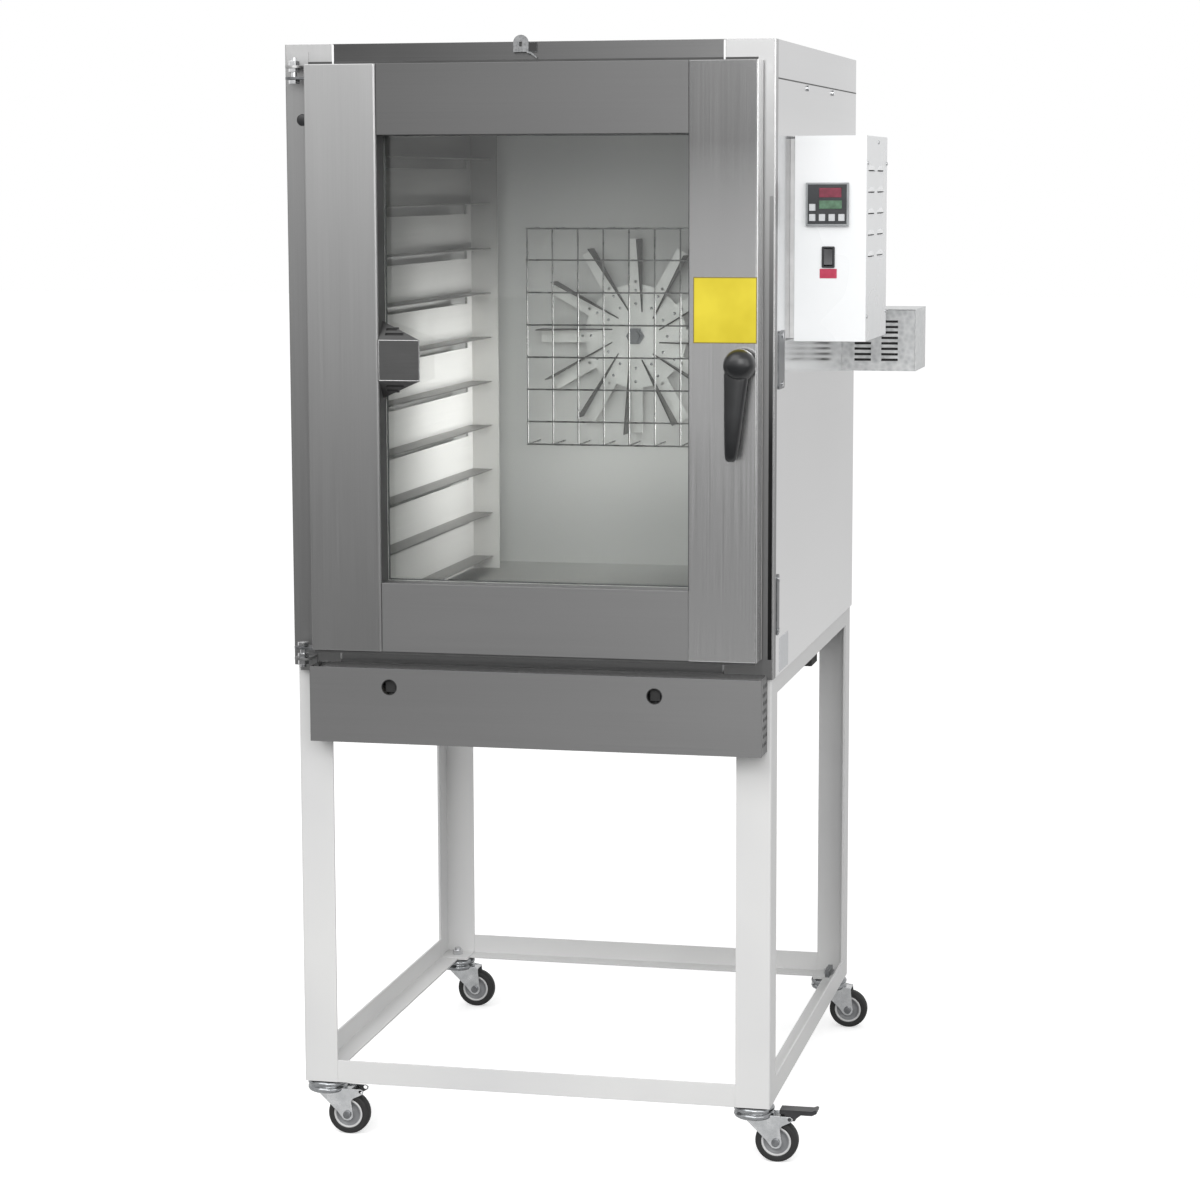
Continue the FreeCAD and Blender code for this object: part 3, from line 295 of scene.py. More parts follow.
def clearGlass(name, tint, roughness, wave=240):
    # float glass: faint green body, sharp mirror at a slant; lamps shine straight through the pane
    material, tree, place = startMaterial(name)
    waves = addNode(tree, "ShaderNodeTexNoise", {"Vector": place, "Scale": 1000 / wave, "Detail": 0.0})
    bump = addNode(tree, "ShaderNodeBump", {"Height": waves.outputs["Fac"], "Strength": 0.02,
                                            "Distance": 0.0004})
    glass = addNode(tree, "ShaderNodeBsdfPrincipled",
                    {"Base Color": hexColour(tint), "Roughness": roughness, "IOR": 1.5,
                     "Transmission Weight": 1.0, "Normal": bump.outputs[0]})
    clear = addNode(tree, "ShaderNodeBsdfTransparent", {"Color": hexColour("#f8faf9")})
    ray = addNode(tree, "ShaderNodeLightPath")
    shader = addNode(tree, "ShaderNodeMixShader", {0: ray.outputs["Is Shadow Ray"], 1: glass.outputs[0],
                                                   2: clear.outputs[0]})
    addNode(tree, "ShaderNodeOutputMaterial", {"Surface": shader.outputs[0]})
    return material


finish["glassToughenedFloat"] = clearGlass("glassToughenedFloat", "#f8faf9", 0.0)
finish["glassBulbBlown"] = clearGlass("glassBulbBlown", "#fbfaf2", 0.05)
print("materials", len(finish))


# mesh tools

def placePiece(name, mesh, body, material, replaced=(), sharpAngle=32):
    for face in mesh.polygons:
        face.use_smooth = True
    if sharpAngle:
        mesh.set_sharp_from_angle(angle=math.radians(sharpAngle))
    mesh.materials.clear()
    mesh.materials.append(finish[material])
    piece = bpy.data.objects.new(name, mesh)
    bpy.context.scene.collection.objects.link(piece)
    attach(piece, body)
    if replaced:
        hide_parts(*replaced)


def addPiece(name, shape, body, material, replaced=(), sharpAngle=32):
    mesh = bpy.data.meshes.new(name)
    shape.to_mesh(mesh)
    shape.free()
    placePiece(name, mesh, body, material, replaced, sharpAngle)


foldAngle = 28  # degrees; a sharper turn between two faces is an edge
stripAngle = 65  # degrees; a rounded strip blends with the flats within this turn
flatAngle = 0.5  # degrees; faces that turn less are one flat
weldGap, shortEdge = 4e-6, 0.008  # metres; nearer corners are one, and shorter edges stay crisp


def shadeFlats(mesh):
    # a flat face keeps its own normal out to its border; the rounded strips blend from one flat to the next
    around = [[] for vertex in mesh.vertices]
    for face in mesh.polygons:
        for vertex in face.vertices:
            around[vertex].append(face)
    normals = []
    for face in mesh.polygons:
        strip = face.material_index == 1
        limit = math.cos(math.radians(stripAngle if strip else foldAngle))
        for vertex in face.vertices:
            near = [other for other in around[vertex] if other.normal.dot(face.normal) > limit]
            flats = [other for other in near if other.material_index == 0]
            total = Vector()
            for other in flats or near:
                total += other.normal * other.area
            normals.append(total.normalized() if total.length > 0 else face.normal)
    for face in mesh.polygons:
        face.use_smooth = True
        face.material_index = 0
    mesh.normals_split_custom_set(normals)


def bevelled(shape, name, width, segments=2, shortest=0.0):
    # rounds the sharp edges that are longer than the shortest; the others stay crisp
    weight = shape.edges.layers.float.new("bevel_weight_edge")
    for edge in shape.edges:
        if len(edge.link_faces) == 2 and edge.calc_face_angle() > math.radians(foldAngle):
            if edge.calc_length() >= shortest:
                edge[weight] = 1.0
            else:
                edge.smooth = False
    for face in shape.faces:
        face.smooth = True
    mesh = bpy.data.meshes.new(name + "_plain")
    shape.to_mesh(mesh)
    shape.free()
    helper = bpy.data.objects.new("bevelHelper", mesh)
    bpy.context.scene.collection.objects.link(helper)
    edge = helper.modifiers.new("edge", "BEVEL")
    edge.width = width / 1000
    edge.segments = segments
    edge.limit_method = "WEIGHT"
    for label in ("flat", "strip"):
        mesh.materials.append(bpy.data.materials.get(label) or bpy.data.materials.new(label))
    edge.material = 1
    bpy.context.view_layer.update()
    result = bpy.data.meshes.new_from_object(helper.evaluated_get(bpy.context.evaluated_depsgraph_get()))
    bpy.data.objects.remove(helper)
    shadeFlats(result)
    return result


def softened(node, width, material, part="finish", above=None, below=None, replaced=True):
    # the node's own form, or its solids above or below a level, with the long edges broken
    shape = bmesh.new()
    shape.from_mesh(frame["nodes"][node].data)
    if above is not None:
        under = [vertex for vertex in shape.verts if vertex.co.z < above]
        bmesh.ops.delete(shape, geom=under, context="VERTS")
    if below is not None:
        over = [vertex for vertex in shape.verts if vertex.co.z > below]
        bmesh.ops.delete(shape, geom=over, context="VERTS")
    bmesh.ops.remove_doubles(shape, verts=shape.verts, dist=weldGap)
    bmesh.ops.dissolve_limit(shape, angle_limit=math.radians(flatAngle), verts=shape.verts, edges=shape.edges)
    mesh = bevelled(shape, node, width, shortest=shortEdge)
    placePiece(node + "_" + part, mesh, bodyOf[node], material, [node] if replaced else [],
               sharpAngle=0)


def addBlock(shape, low, high):
    corners = bmesh.ops.create_cube(shape, size=1.0)["verts"]
    bmesh.ops.scale(shape, verts=corners, vec=[abs(side) for side in high - low])
    bmesh.ops.translate(shape, verts=corners, vec=(low + high) / 2)


def roundCorner(corner, before, after, radius, steps=6):
    # the arc that joins two square sides of an outline; the ways run from the corner along the sides
    corner, before, after = Vector(corner), Vector(before), Vector(after)
    centre = corner + (before + after) * radius
    arc = []
    for step in range(steps + 1):
        turn = math.pi / 2 * step / steps
        arc.append(tuple(centre - (after * math.cos(turn) + before * math.sin(turn)) * radius))
    return arc


def addLoft(shape, sections):
    # sections: closed rings of points with the same count; the two end rings are capped
    rings = [[shape.verts.new(point) for point in section] for section in sections]
    count = len(rings[0])
    for first, second in zip(rings, rings[1:]):
        for step in range(count):
            following = (step + 1) % count
            shape.faces.new((first[step], first[following], second[following], second[step]))
    shape.faces.new(rings[0])
    shape.faces.new(rings[-1])


def prismPiece(name, outline, zLow, zHigh, width, body, material, replaced=()):
    # an upright bar with the given plan outline in metres and rounded edges
    shape = bmesh.new()
    addLoft(shape, [[(x, y, z) for x, y in outline] for z in (zLow, zHigh)])
    bmesh.ops.recalc_face_normals(shape, faces=shape.faces)
    mesh = bevelled(shape, name, width, segments=3)
    placePiece(name, mesh, body, material, replaced, sharpAngle=0)


def blockPiece(name, blocks, width, body, material, replaced=(), segments=3):
    shape = bmesh.new()
    for low, high in blocks:
        addBlock(shape, low, high)
    mesh = bevelled(shape, name, width, segments)
    placePiece(name, mesh, body, material, replaced, sharpAngle=0)


def blockSet(body, table):
    # table: low corner, high corner, rounding, its steps, finish and material slot of each piece
    for name, (low, high, width, segments, material, slotName) in table.items():
        blockPiece(name, [(spot(*low), spot(*high))], width, body, material, (), segments)


def ringBlocks(low, high, wide):
    # four bars round a rectangle that lies across Y
    inLow, inHigh = low + Vector((wide, 0, wide)), high - Vector((wide, 0, wide))
    return [(low, Vector((inLow.x, high.y, high.z))), (Vector((inHigh.x, low.y, low.z)), high),
            (Vector((inLow.x, low.y, inHigh.z)), Vector((inHigh.x, high.y, high.z))),
            (Vector((inLow.x, low.y, low.z)), Vector((inHigh.x, high.y, inLow.z)))]


def addTurned(shape, profile, centre, axis, steps=40):
    # turns a profile of (radius, distance along axis) in millimetres about an axis through centre
    axis = axis.normalized()
    side = axis.orthogonal().normalized()
    other = axis.cross(side)
    rings = []
    for radius, along in profile:
        base = centre + axis * along / 1000
        if radius == 0:
            rings.append([shape.verts.new(base)])
            continue
        ring = []
        for step in range(steps):
            turn = 2 * math.pi * step / steps
            outward = side * math.cos(turn) + other * math.sin(turn)
            ring.append(shape.verts.new(base + outward * radius / 1000))
        rings.append(ring)
    for first, second in zip(rings, rings[1:]):
        for step in range(steps):
            following = (step + 1) % steps
            if len(first) == 1:
                shape.faces.new((first[0], second[step], second[following]))
            elif len(second) == 1:
                shape.faces.new((first[step], second[0], first[following]))
            else:
                shape.faces.new((first[step], second[step], second[following], first[following]))
    return rings


def closeEnds(shape, rings):
    for ring in (rings[0], rings[-1]):
        if len(ring) > 2:
            shape.faces.new(ring)


def turnedPiece(name, parts, body, material, replaced=(), steps=40, sharpAngle=35):
    # parts: (profile, centre, axis); a profile that ends where it starts is a ring
    shape = bmesh.new()
    for profile, centre, axis in parts:
        rings = addTurned(shape, profile, centre, axis, steps)
        if profile[0] == profile[-1]:
            bmesh.ops.remove_doubles(shape, verts=rings[0] + rings[-1], dist=weldGap)
        else:
            closeEnds(shape, rings)
    bmesh.ops.recalc_face_normals(shape, faces=shape.faces)
    addPiece(name, shape, body, material, replaced, sharpAngle)


xWay, yWay, zWay = Vector((1, 0, 0)), Vector((0, 1, 0)), Vector((0, 0, 1))

panHead = [(0, 2.1), (1.7, 2.0), (3.0, 1.5), (3.8, 0.6), (4.0, 0.0)]  # pan-head screw, millimetres
domeRivet = [(0, 1.5), (1.2, 1.35), (2.2, 0.9), (2.8, 0.0)]


def headsPiece(name, heads, body, profile=panHead):
    # heads: (place, outward way)
    turnedPiece(name, [(profile, place, way) for place, way in heads], body, "zincElectroplated",
                steps=16, sharpAngle=32)


# door

doorLook = {"edge": 1.6, "railEdge": 1.2, "fold": 4.5, "strip": 60, "skin": 2, "jambGap": 0.3,
            "returnFront": 0.6, "returnFold": 1.6, "returnEdge": 0.3, "windowTop": 1752, "windowBottom": 1000}
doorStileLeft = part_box("door_stile_left")
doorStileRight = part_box("door_stile_right")
glassLow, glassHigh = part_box("door_glass")
linerLow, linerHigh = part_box("door_liner")
jambDepth = glassLow.y - doorLook["jambGap"] / 1000
strip, skin = doorLook["strip"] / 1000, doorLook["skin"] / 1000

# folded boxes that reach deeper along their outer edge, where the glass doesn't reach
low, high = doorStileLeft
fold = roundCorner((high.x, low.y), (-1, 0), (0, 1), doorLook["fold"] / 1000)
outline = [(low.x, low.y)] + fold + [(high.x, jambDepth), (low.x + strip, jambDepth),
                                     (low.x + strip, linerLow.y), (low.x, linerLow.y)]
prismPiece("door_stile_left_finish", outline, low.z, high.z, doorLook["edge"], "door",
           "stainlessBrushedUpright", ["door_stile_left"])
low, high = doorStileRight
side = high.x - skin
outline = [(low.x, low.y), (side, low.y), (side, linerLow.y), (side - strip, linerLow.y),
           (side - strip, jambDepth), (low.x, jambDepth)]
prismPiece("door_stile_right_finish", outline, low.z, high.z, doorLook["edge"], "door",
           "stainlessBrushedLatchSide", ["door_stile_right"])
front = low.y + doorLook["returnFront"] / 1000
fold = roundCorner((high.x, front), (-1, 0), (0, 1), doorLook["returnFold"] / 1000)
outline = [(side, front)] + fold + [(high.x, linerLow.y), (side, linerLow.y)]
prismPiece("door_stile_right_return", outline, low.z, high.z, doorLook["returnEdge"], "door",
           "stainlessPolishedHighlight")

railLow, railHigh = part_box("door_rails")
# the top rail takes a darker copy of the brushed steel, which is painted shade
for name, zLow, zHigh, material, replaced in (
        ("top", doorLook["windowTop"] / 1000, railHigh.z, "stainlessBrushedShadedUpper", ["door_rails"]),
        ("bottom", railLow.z, doorLook["windowBottom"] / 1000, "stainlessBrushedLevel", [])):
    block = (Vector((railLow.x, railLow.y, zLow)), Vector((railHigh.x, jambDepth, zHigh)))
    blockPiece("door_rail_" + name, [block], doorLook["railEdge"], "door", material, replaced)
print("door dressed")

# glazing: a silicone lip on the liner's opening; a dark strip down each jamb and a dark line at the right
# stile's fold are painted shade
windowLook = {"lap": 11, "lip": 2.4, "lipFront": 0.04, "lipBack": 0.1, "strip": 0.5, "stripFront": 4.8,
              "line": 1.5, "lineStart": 0.1, "lineFront": 0.2, "lineBack": 2, "edge": 0.1}
span = {name: size / 1000 for name, size in windowLook.items()}
low = Vector((glassLow.x + span["lap"], glassHigh.y + span["lipFront"], glassLow.z + span["lap"]))
high = Vector((glassHigh.x - span["lap"], linerHigh.y + span["lipBack"], glassHigh.z - span["lap"]))
strips = ringBlocks(low, high, span["lip"])
front = doorStileLeft[0].y
for left, right in ((low.x, low.x + span["strip"]), (high.x - span["strip"], high.x)):
    strips.append((Vector((left, front + span["stripFront"], low.z)), Vector((right, jambDepth, high.z))))
strips.append((Vector((high.x - span["lineStart"], front - span["lineFront"], low.z)),
               Vector((high.x + span["line"], front + span["lineBack"], high.z))))
blockPiece("glazing_trim_and_shade", strips, windowLook["edge"], "door", "siliconeGreyAndShadow", (),
           segments=1)
# painted shadow: a dark strip under the door's bottom edge
blockSet("door", {"door_foot_shadow": ((-366, -52, 877.4), (398, -50, 882), 0.4, 3, "siliconeGreyAndShadow",
                                     slotOf["door_gasket"])})

# lever handle

handleLook = {
    "pivot": (375, 1377), "steps": 28, "headSteps": 48, "squareness": 0.75,
    # drop, sideways, half width, front, rear of each lever section
    "lever": ((-2, -4, 18.5, -94, -72), (-16, -4.6, 20, -95.5, -72), (-28, -5, 19.4, -96, -72),
              (-45, -6, 18, -96.8, -72.5), (-75, -7.8, 16, -98, -74), (-100, -9.2, 14.2, -98.6, -75),
              (-125, -10.6, 12.4, -98.4, -76), (-144, -11.8, 10.8, -97.4, -77),
              (-152, -12.3, 9.6, -96, -78.5), (-156.4, -12.6, 7.2, -93.5, -81),
              (-157.8, -12.7, 4.6, -91, -83.5)),
    "head": [(0, 46.9), (6, 46.5), (11, 45.6), (15.5, 44.1), (19.4, 41.8), (22.4, 38.6), (24.6, 34.4),
             (25.9, 29.6), (26.4, 25), (26.4, 18), (25.2, 14.6), (22, 13), (21, 11.5), (21, 0.3)],
}
pivotX, pivotZ = handleLook["pivot"]
square = handleLook["squareness"]
shape = bmesh.new()
sections = []
for drop, sideways, halfWidth, front, rear in handleLook["lever"]:
    section = []
    for step in range(handleLook["steps"]):
        turn = 2 * math.pi * step / handleLook["steps"]
        c, s = math.cos(turn), math.sin(turn)
        x = math.copysign(abs(c) ** square, c) * halfWidth
        y = (front + rear) / 2 - math.copysign(abs(s) ** square, s) * (rear - front) / 2
        section.append(spot(pivotX + sideways + x, y, pivotZ + drop))
    sections.append(section)
addLoft(shape, sections)
headCentre = Vector((spot(pivotX, 0, 0).x, doorStileRight[0].y, pivotZ / 1000))
closeEnds(shape, addTurned(shape, handleLook["head"], headCentre, -yWay, handleLook["headSteps"]))
bmesh.ops.recalc_face_normals(shape, faces=shape.faces)
addPiece("handle_finish", shape, "handle", "phenolicBlackPolished", ["handle"],
         sharpAngle=50)
print("handle lofted")

# castors

castorLook = {
    "trail": 40, "cheek": 17.4, "forkEdge": 0.6,
    "race": [(24, 76.6), (30, 77.2), (33.6, 79.4), (35.2, 82.4), (34.8, 85.6), (31.6, 87.2), (31.2, 88.8),
             (34.6, 90.2), (35.4, 93.2), (34.4, 96.6), (30.6, 99.2), (24, 99.6)],
    "hub": [(4.3, 13), (8.2, 13), (9, 12.2), (9.6, 10), (11.5, 8.2), (16.5, 7.6), (19.5, 8.6), (21, 10.2),
            (25.7, 10.6), (25.7, 0)],
    "rim": [(22.2, 10.4), (22.6, 11.4), (23.6, 11.9), (25.2, 11.9), (26.0, 11.2), (26.0, 10.2), (22.2, 10.4)],
    "tyre": [(26, 11), (27.2, 12), (30, 12.2), (31, 11.7), (32, 12.1), (34.2, 11.6), (36.2, 9.8), (37.2, 6.6),
             (37.5, 2.5)],
    "bolt": [(0, 5.4), (3.2, 5.4), (3.6, 4.8), (6.2, 4.6), (7.0, 3.8), (7.2, 0)],
}


def wheelRing(profile):
    # mirrors a half profile about the wheel's middle plane and closes it
    back = [(radius, -along) for radius, along in reversed(profile)]
    joined = profile + (back[1:] if profile[-1][1] == 0 else back)
    return joined + [joined[0]]


for corner in ("front_left", "front_right", "rear_left", "rear_right"):
    wheelLow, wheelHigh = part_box("castor_wheel_" + corner)
    hub = (wheelLow + wheelHigh) / 2
    swivel = Vector((hub.x - castorLook["trail"] / 1000, hub.y, 0))
    cheek = yWay * castorLook["cheek"] / 1000
    fork, wheel = "castor_" + corner, "wheel_" + corner
    softened("castor_fork_" + corner, castorLook["forkEdge"], "zincElectroplated")
    turnedPiece("castor_race_" + corner, [(castorLook["race"], swivel, zWay)], fork, "zincPressedRace", (),
                steps=48, sharpAngle=60)
    turnedPiece("castor_hub_" + corner, [(wheelRing(castorLook["hub"]), hub, yWay)], wheel,
                "polypropyleneGreyMoulded", ["castor_wheel_" + corner], steps=48,
                sharpAngle=40)
    turnedPiece("castor_rim_" + corner, [(castorLook["rim"], hub, way) for way in (yWay, -yWay)], wheel,
                "polypropylenePaleMoulded", (), steps=48, sharpAngle=60)
    turnedPiece("castor_tread_" + corner, [(wheelRing(castorLook["tyre"]), hub, yWay)], wheel,
                "rubberBlackVulcanised", ["castor_tyre_" + corner], steps=64,
                sharpAngle=50)
    bolts = [(castorLook["bolt"], hub - cheek, -yWay), (castorLook["bolt"], hub + cheek, yWay)]
    turnedPiece("castor_bolt_" + corner, bolts, fork, "zincDarkPassivated", (), steps=24)
print("castors turned")

# front frame

frameLook = {"half": 420, "inside": 335, "fold": 2.6, "edge": 0.4, "sheet": 1.2, "slot": (365, 385),
             "slotLevels": (1341, 1413), "railEdge": 0.6, "middle": 1.4,
             "bead": 1.7, "beadDepths": (-0.8, 1.5), "beadEdge": 0.7,
             "beads": {"lower": (858, 930, "stainlessPolishedHighlight"),
                       "upper": (1800, 1904, "weldBeadPaintedHighlight")}}
half, inside, fold = frameLook["half"], frameLook["inside"], frameLook["fold"] / 1000
frameLow, frameHigh = stileLow.z * 1000, stileHigh.z * 1000
slotLeft, slotRight = frameLook["slot"]
slotLow, slotHigh = frameLook["slotLevels"]
tubeBack = stileHigh.y
sheetBack = faceLine + frameLook["sheet"] / 1000  # only sheet round the latch slot: the tongue turns behind

# lengths of square tube: left, right, lower end, upper end, back, which front corners are folded round
bars = {
    "left": (-half, -inside, frameLow, frameHigh, tubeBack, (True, True)),
    "right_lower": (inside, half, frameLow, slotLow, tubeBack, (True, False)),
    "right_inner": (inside, slotLeft, slotLow, slotHigh, sheetBack, (False, False)),
    "right_outer": (slotRight, half, slotLow, slotHigh, sheetBack, (False, False)),
    "right_wall": (half - frameLook["sheet"], half, slotLow, slotHigh, tubeBack, (False, False)),
    "right_upper": (inside, half, slotHigh, frameHigh, tubeBack, (True, False)),
}
for name, (x0, x1, zLow, zHigh, back, folds) in bars.items():
    left, right = spot(x0, 0, 0).x, spot(x1, 0, 0).x
    outline = roundCorner((left, faceLine), (0, 1), (1, 0), fold) if folds[0] else [(left, faceLine)]
    outline += roundCorner((right, faceLine), (-1, 0), (0, 1), fold) if folds[1] else [(right, faceLine)]
    outline += [(right, back), (left, back)]
    material, replaced = ("stainlessBrushedBright", ["front_stiles"]) if name == "left" else (
        "stainlessBrushedPost", [])
    prismPiece("front_stile_" + name, outline, zLow / 1000, zHigh / 1000, frameLook["edge"], "cabinet",
               material, replaced)
blockSet("cabinet", {
    "front_stile_right_back": ((336, 23.7, slotLow), (418.7, 24.9, slotHigh), 0.1, 1, "stainlessBrushedPost",
                               slotOf["front_stiles"]),
    # painted shadow: a dark strip in the fold beside the door
    "front_stile_fold_shadow": ((410.5, -0.3, 880), (417, 0.3, 1650), 0.1, 1, "stainlessBrushedFoldShadow",
                         slotOf["front_stiles"]),
    # painted highlight: a pale strip along the frame's right edge
    "front_stile_edge_highlight": ((417.4, -0.35, frameLow), (420.05, 1.6, frameHigh), 0.3, 3,
                         "stainlessPolishedHighlight", slotOf["front_stiles"]),
    # painted shadow: a dark strip along the door's top edge
    "frame_top_shadow": ((-387, -0.5, 1868), (391, 0.3, 1875.8), 0.2, 3, "siliconeGreyAndShadow",
                   slotOf["door_gasket"]),
})
# the upper rail takes the darkest copy of the brushed steel, which is painted shade
softened("front_rails", frameLook["railEdge"], "stainlessBrushedShade", "upper", above=frameLook["middle"])
softened("front_rails", frameLook["railEdge"], "stainlessFoldedGutter", "lower", below=frameLook["middle"],
         replaced=False)

# the stiles are welded to the rails; the ground welds stay as bright upright lines, which are partly painted
# highlight
bead, (beadFront, beadBack) = frameLook["bead"], frameLook["beadDepths"]
for name, (zLow, zHigh, material) in frameLook["beads"].items():
    beads = [(spot(x - bead, beadFront, zLow), spot(x + bead, beadBack, zHigh)) for x in (-inside, inside)]
    blockPiece("frame_welds_" + name, beads, frameLook["beadEdge"], "cabinet", material, ())

# painted shade: black rims in the burner holes and black plates behind them stand for the dark inside the
# mouths
burnerLook = {"holes": (-235, 227), "panel": -50, "level": 820, "mouthHalf": 50,
              "mouth": ((-19.5, 772), (-18.5, 842.5)), "mouthEdge": 0.2,
              "rim": [(12.4, -0.3), (13.7, -0.3), (13.7, 0.3), (13.0, 2.2), (12.4, 2.2), (12.4, -0.3)]}
rims, mouths = [], []
for x in burnerLook["holes"]:
    low, high = burnerLook["mouth"]
    rims.append((burnerLook["rim"], spot(x, burnerLook["panel"], burnerLook["level"]), yWay))
    mouths.append((spot(x - burnerLook["mouthHalf"], *low), spot(x + burnerLook["mouthHalf"], *high)))
turnedPiece("burner_hole_shade_rims", rims, "cabinet", "stovePaintBlackAndShade", ())
blockPiece("burner_mouth_shades", mouths, burnerLook["mouthEdge"], "cabinet", "stovePaintBlackAndShade", ())
print("front frame dressed")

# edges of the plain sheet, bar and moulded nodes: rounding and finish

edges = {
    "stand_legs": (0.8, "powderCoatWhite"), "stand_rails": (0.8, "powderCoatWhite"),
    "castor_plates": (0.6, "powderCoatWhite"), "burner_panel": (0.6, "stainlessBrushedLevel"),
    "side_panel_left": (0.6, "stainlessPolishedSkin"), "side_panel_right": (0.6, "stainlessPolishedSkin"),
    "back_panel": (0.6, "stainlessPolishedSkin"), "top_cover": (0.6, "stainlessPolishedSkin"),
    "tray_rails": (0.6, "stainlessFoldedLedge"), "fan_wheel": (0.4, "stainlessFanPlain"),
    "motor": (0.7, "enamelGreyMachine"), "vent_box": (0.5, "galvanisedSheetSpangled"),
    "control_box": (0.5, "enamelWhiteStoved"), "controller": (0.5, "absCharcoalMoulded"),
    "switch_frame": (0.5, "nylonBlackMoulded"), "rocker": (0.9, "absGreyMoulded"),
    "hinge_door_plates": (0.7, "zincDarkPassivated"), "hinge_frame_plates": (0.7, "stainlessBrushedBright"),
    "lamp_housing": (0.4, "stainlessFoldedHousing"), "lamp_holder": (1.2, "steatiteCreamFired"),
    "top_bracket": (0.5, "galvanisedStripAged"), "strike_plates": (0.6, "zincDarkPassivated"),
    "fasteners": (0.6, "zincBrightPlated"), "brake_pedal_front_right": (1.2, "nylonBlackMoulded"),
    "gas_manifold": (0.8, "stovePaintBlackAndShade"),
    **{"key_" + number: (0.6, "absPaleMoulded") for number in "12345"},
}
for node, (width, material) in edges.items():
    softened(node, width, material)
print("edges broken on", len(edges), "nodes")

# nodes whose form is already right keep it and take a finish
kept = {
    "base_plate": "galvanisedSheetSpangled", "chamber_liner": "stainlessChamberRear",
    "baffles": "stainlessChamberRolled", "insulation": "mineralWoolSlab", "fan_shaft": "zincDarkPassivated",
    "fan_guard": "stainlessWireDrawn", "burners": "aluminisedSteelTube",
    "door_liner": "stainlessChamberRolled", "door_glass": "glassToughenedFloat",
    "door_gasket": "siliconeGreyAndShadow", "latch_spindle": "zincElectroplated",
    "lamp_bulb": "glassBulbBlown",
}
for node, material in kept.items():
    mesh = frame["nodes"][node].data
    mesh.materials.clear()
    mesh.materials.append(finish[material])

# meter, switch and blank plates

meterLook = {"rim": 3.2, "grow": (0.2, 0.8, 0.2), "clear": 0.5, "edge": 0.7}
meterLow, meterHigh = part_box("controller")
grow = Vector(meterLook["grow"]) / 1000
rimHigh = meterHigh + grow
rimHigh.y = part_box("control_box")[0].y - meterLook["clear"] / 1000
blockPiece("meter_rim", ringBlocks(meterLow - grow, rimHigh, meterLook["rim"] / 1000), meterLook["edge"],
           "cabinet", "absSilverMoulded", ())
blockSet("cabinet", {
    "meter_window_red": ((470.6, 142.2, 1647), (508.6, 143.4, 1663), 0.4, 3, "acrylicRedWindow",
                         "meter_plastic"),
    "meter_window_green": ((470.8, 142.2, 1628), (509.6, 143.4, 1642), 0.4, 3, "acrylicGreenWindow",
                           "meter_plastic"),
    "switch_plate": ((471.5, 148.9, 1511.5), (500.6, 150, 1527.4), 0.5, 3, "vinylRedFilm", "black_plastic"),
})
plateLook = {"low": (294, -57.6, 1411), "high": (400, -57, 1519), "border": 1.6, "edge": 0.2}
blockPiece("door_plate_edge",
           ringBlocks(spot(*plateLook["low"]), spot(*plateLook["high"]), plateLook["border"] / 1000),
           plateLook["edge"], "door", "vinylOchreFilm", ())
blockSet("door", {"door_plate": ((295.5, -57.5, 1412.5), (398.5, -57, 1517.5), 0.2, 3, "vinylYellowFilm",
                                 "brushed_front")})

# folded rim of the lamp housing, in the paler steel that is partly a painted highlight, and painted shade in
# its flap slots
housingLook = {"plate": (-245, -173, 1343, 1412), "face": -57, "rim": 1.5, "rimDepths": (-0.5, 0.6),
               "rimEdge": 0.5, "rise": 31, "run": 27, "slots": ((0.3, 32), (0.55, 20)), "slotEnds": (9, 11),
               "slotDepths": (4.6, 5.2), "slotHalf": 3.4, "slotEdge": 0.1}
x0, x1, z0, z1 = housingLook["plate"]
face = housingLook["face"]
front, back = housingLook["rimDepths"]
rim = ringBlocks(spot(x0, face + front, z0), spot(x1, face + back, z1), housingLook["rim"] / 1000)
blockPiece("lamp_rim", rim, housingLook["rimEdge"], "door", "stainlessPolishedHighlight", ())
shades = []
front, back = housingLook["slotDepths"]
start, end = housingLook["slotEnds"]
for edge, way in ((z0, -1), (z1, 1)):
    for share, length in housingLook["slots"]:
        y, z = face + housingLook["run"] * share, edge + way * housingLook["rise"] * share
        shades.append((spot(x0 + start, y + front, z - housingLook["slotHalf"]),
                       spot(x0 + end + length, y + back, z + housingLook["slotHalf"])))
blockPiece("lamp_shades", shades, housingLook["slotEdge"], "door", "stovePaintBlackAndShade", (),
           segments=1)

# pressed louvre hoods on the box's right wall, open below
louvreLook = {"rows": 5, "columns": (212, 328), "wall": 549.2, "low": 1548.5, "pitch": 36,
              "half": (3.6, 41, 8), "mouth": 1.5, "sheet": 0.8}
half = Matrix.Diagonal((*(size / 1000 for size in louvreLook["half"]), 1))
shape = bmesh.new()
for row in range(louvreLook["rows"]):
    for column in louvreLook["columns"]:
        place = spot(louvreLook["wall"], column, louvreLook["low"] + louvreLook["pitch"] * row)
        made = bmesh.ops.create_uvsphere(shape, u_segments=24, v_segments=12, radius=1.0,
                                         matrix=Matrix.Translation(place) @ half)
        under = [vertex for vertex in made["verts"] if vertex.co.z < place.z - louvreLook["mouth"] / 1000]
        bmesh.ops.delete(shape, geom=under, context="VERTS")
bmesh.ops.solidify(shape, geom=shape.faces[:], thickness=louvreLook["sheet"] / 1000)
bmesh.ops.recalc_face_normals(shape, faces=shape.faces)
addPiece("louvre_hoods", shape, "cabinet", "enamelWhiteStoved", sharpAngle=60)

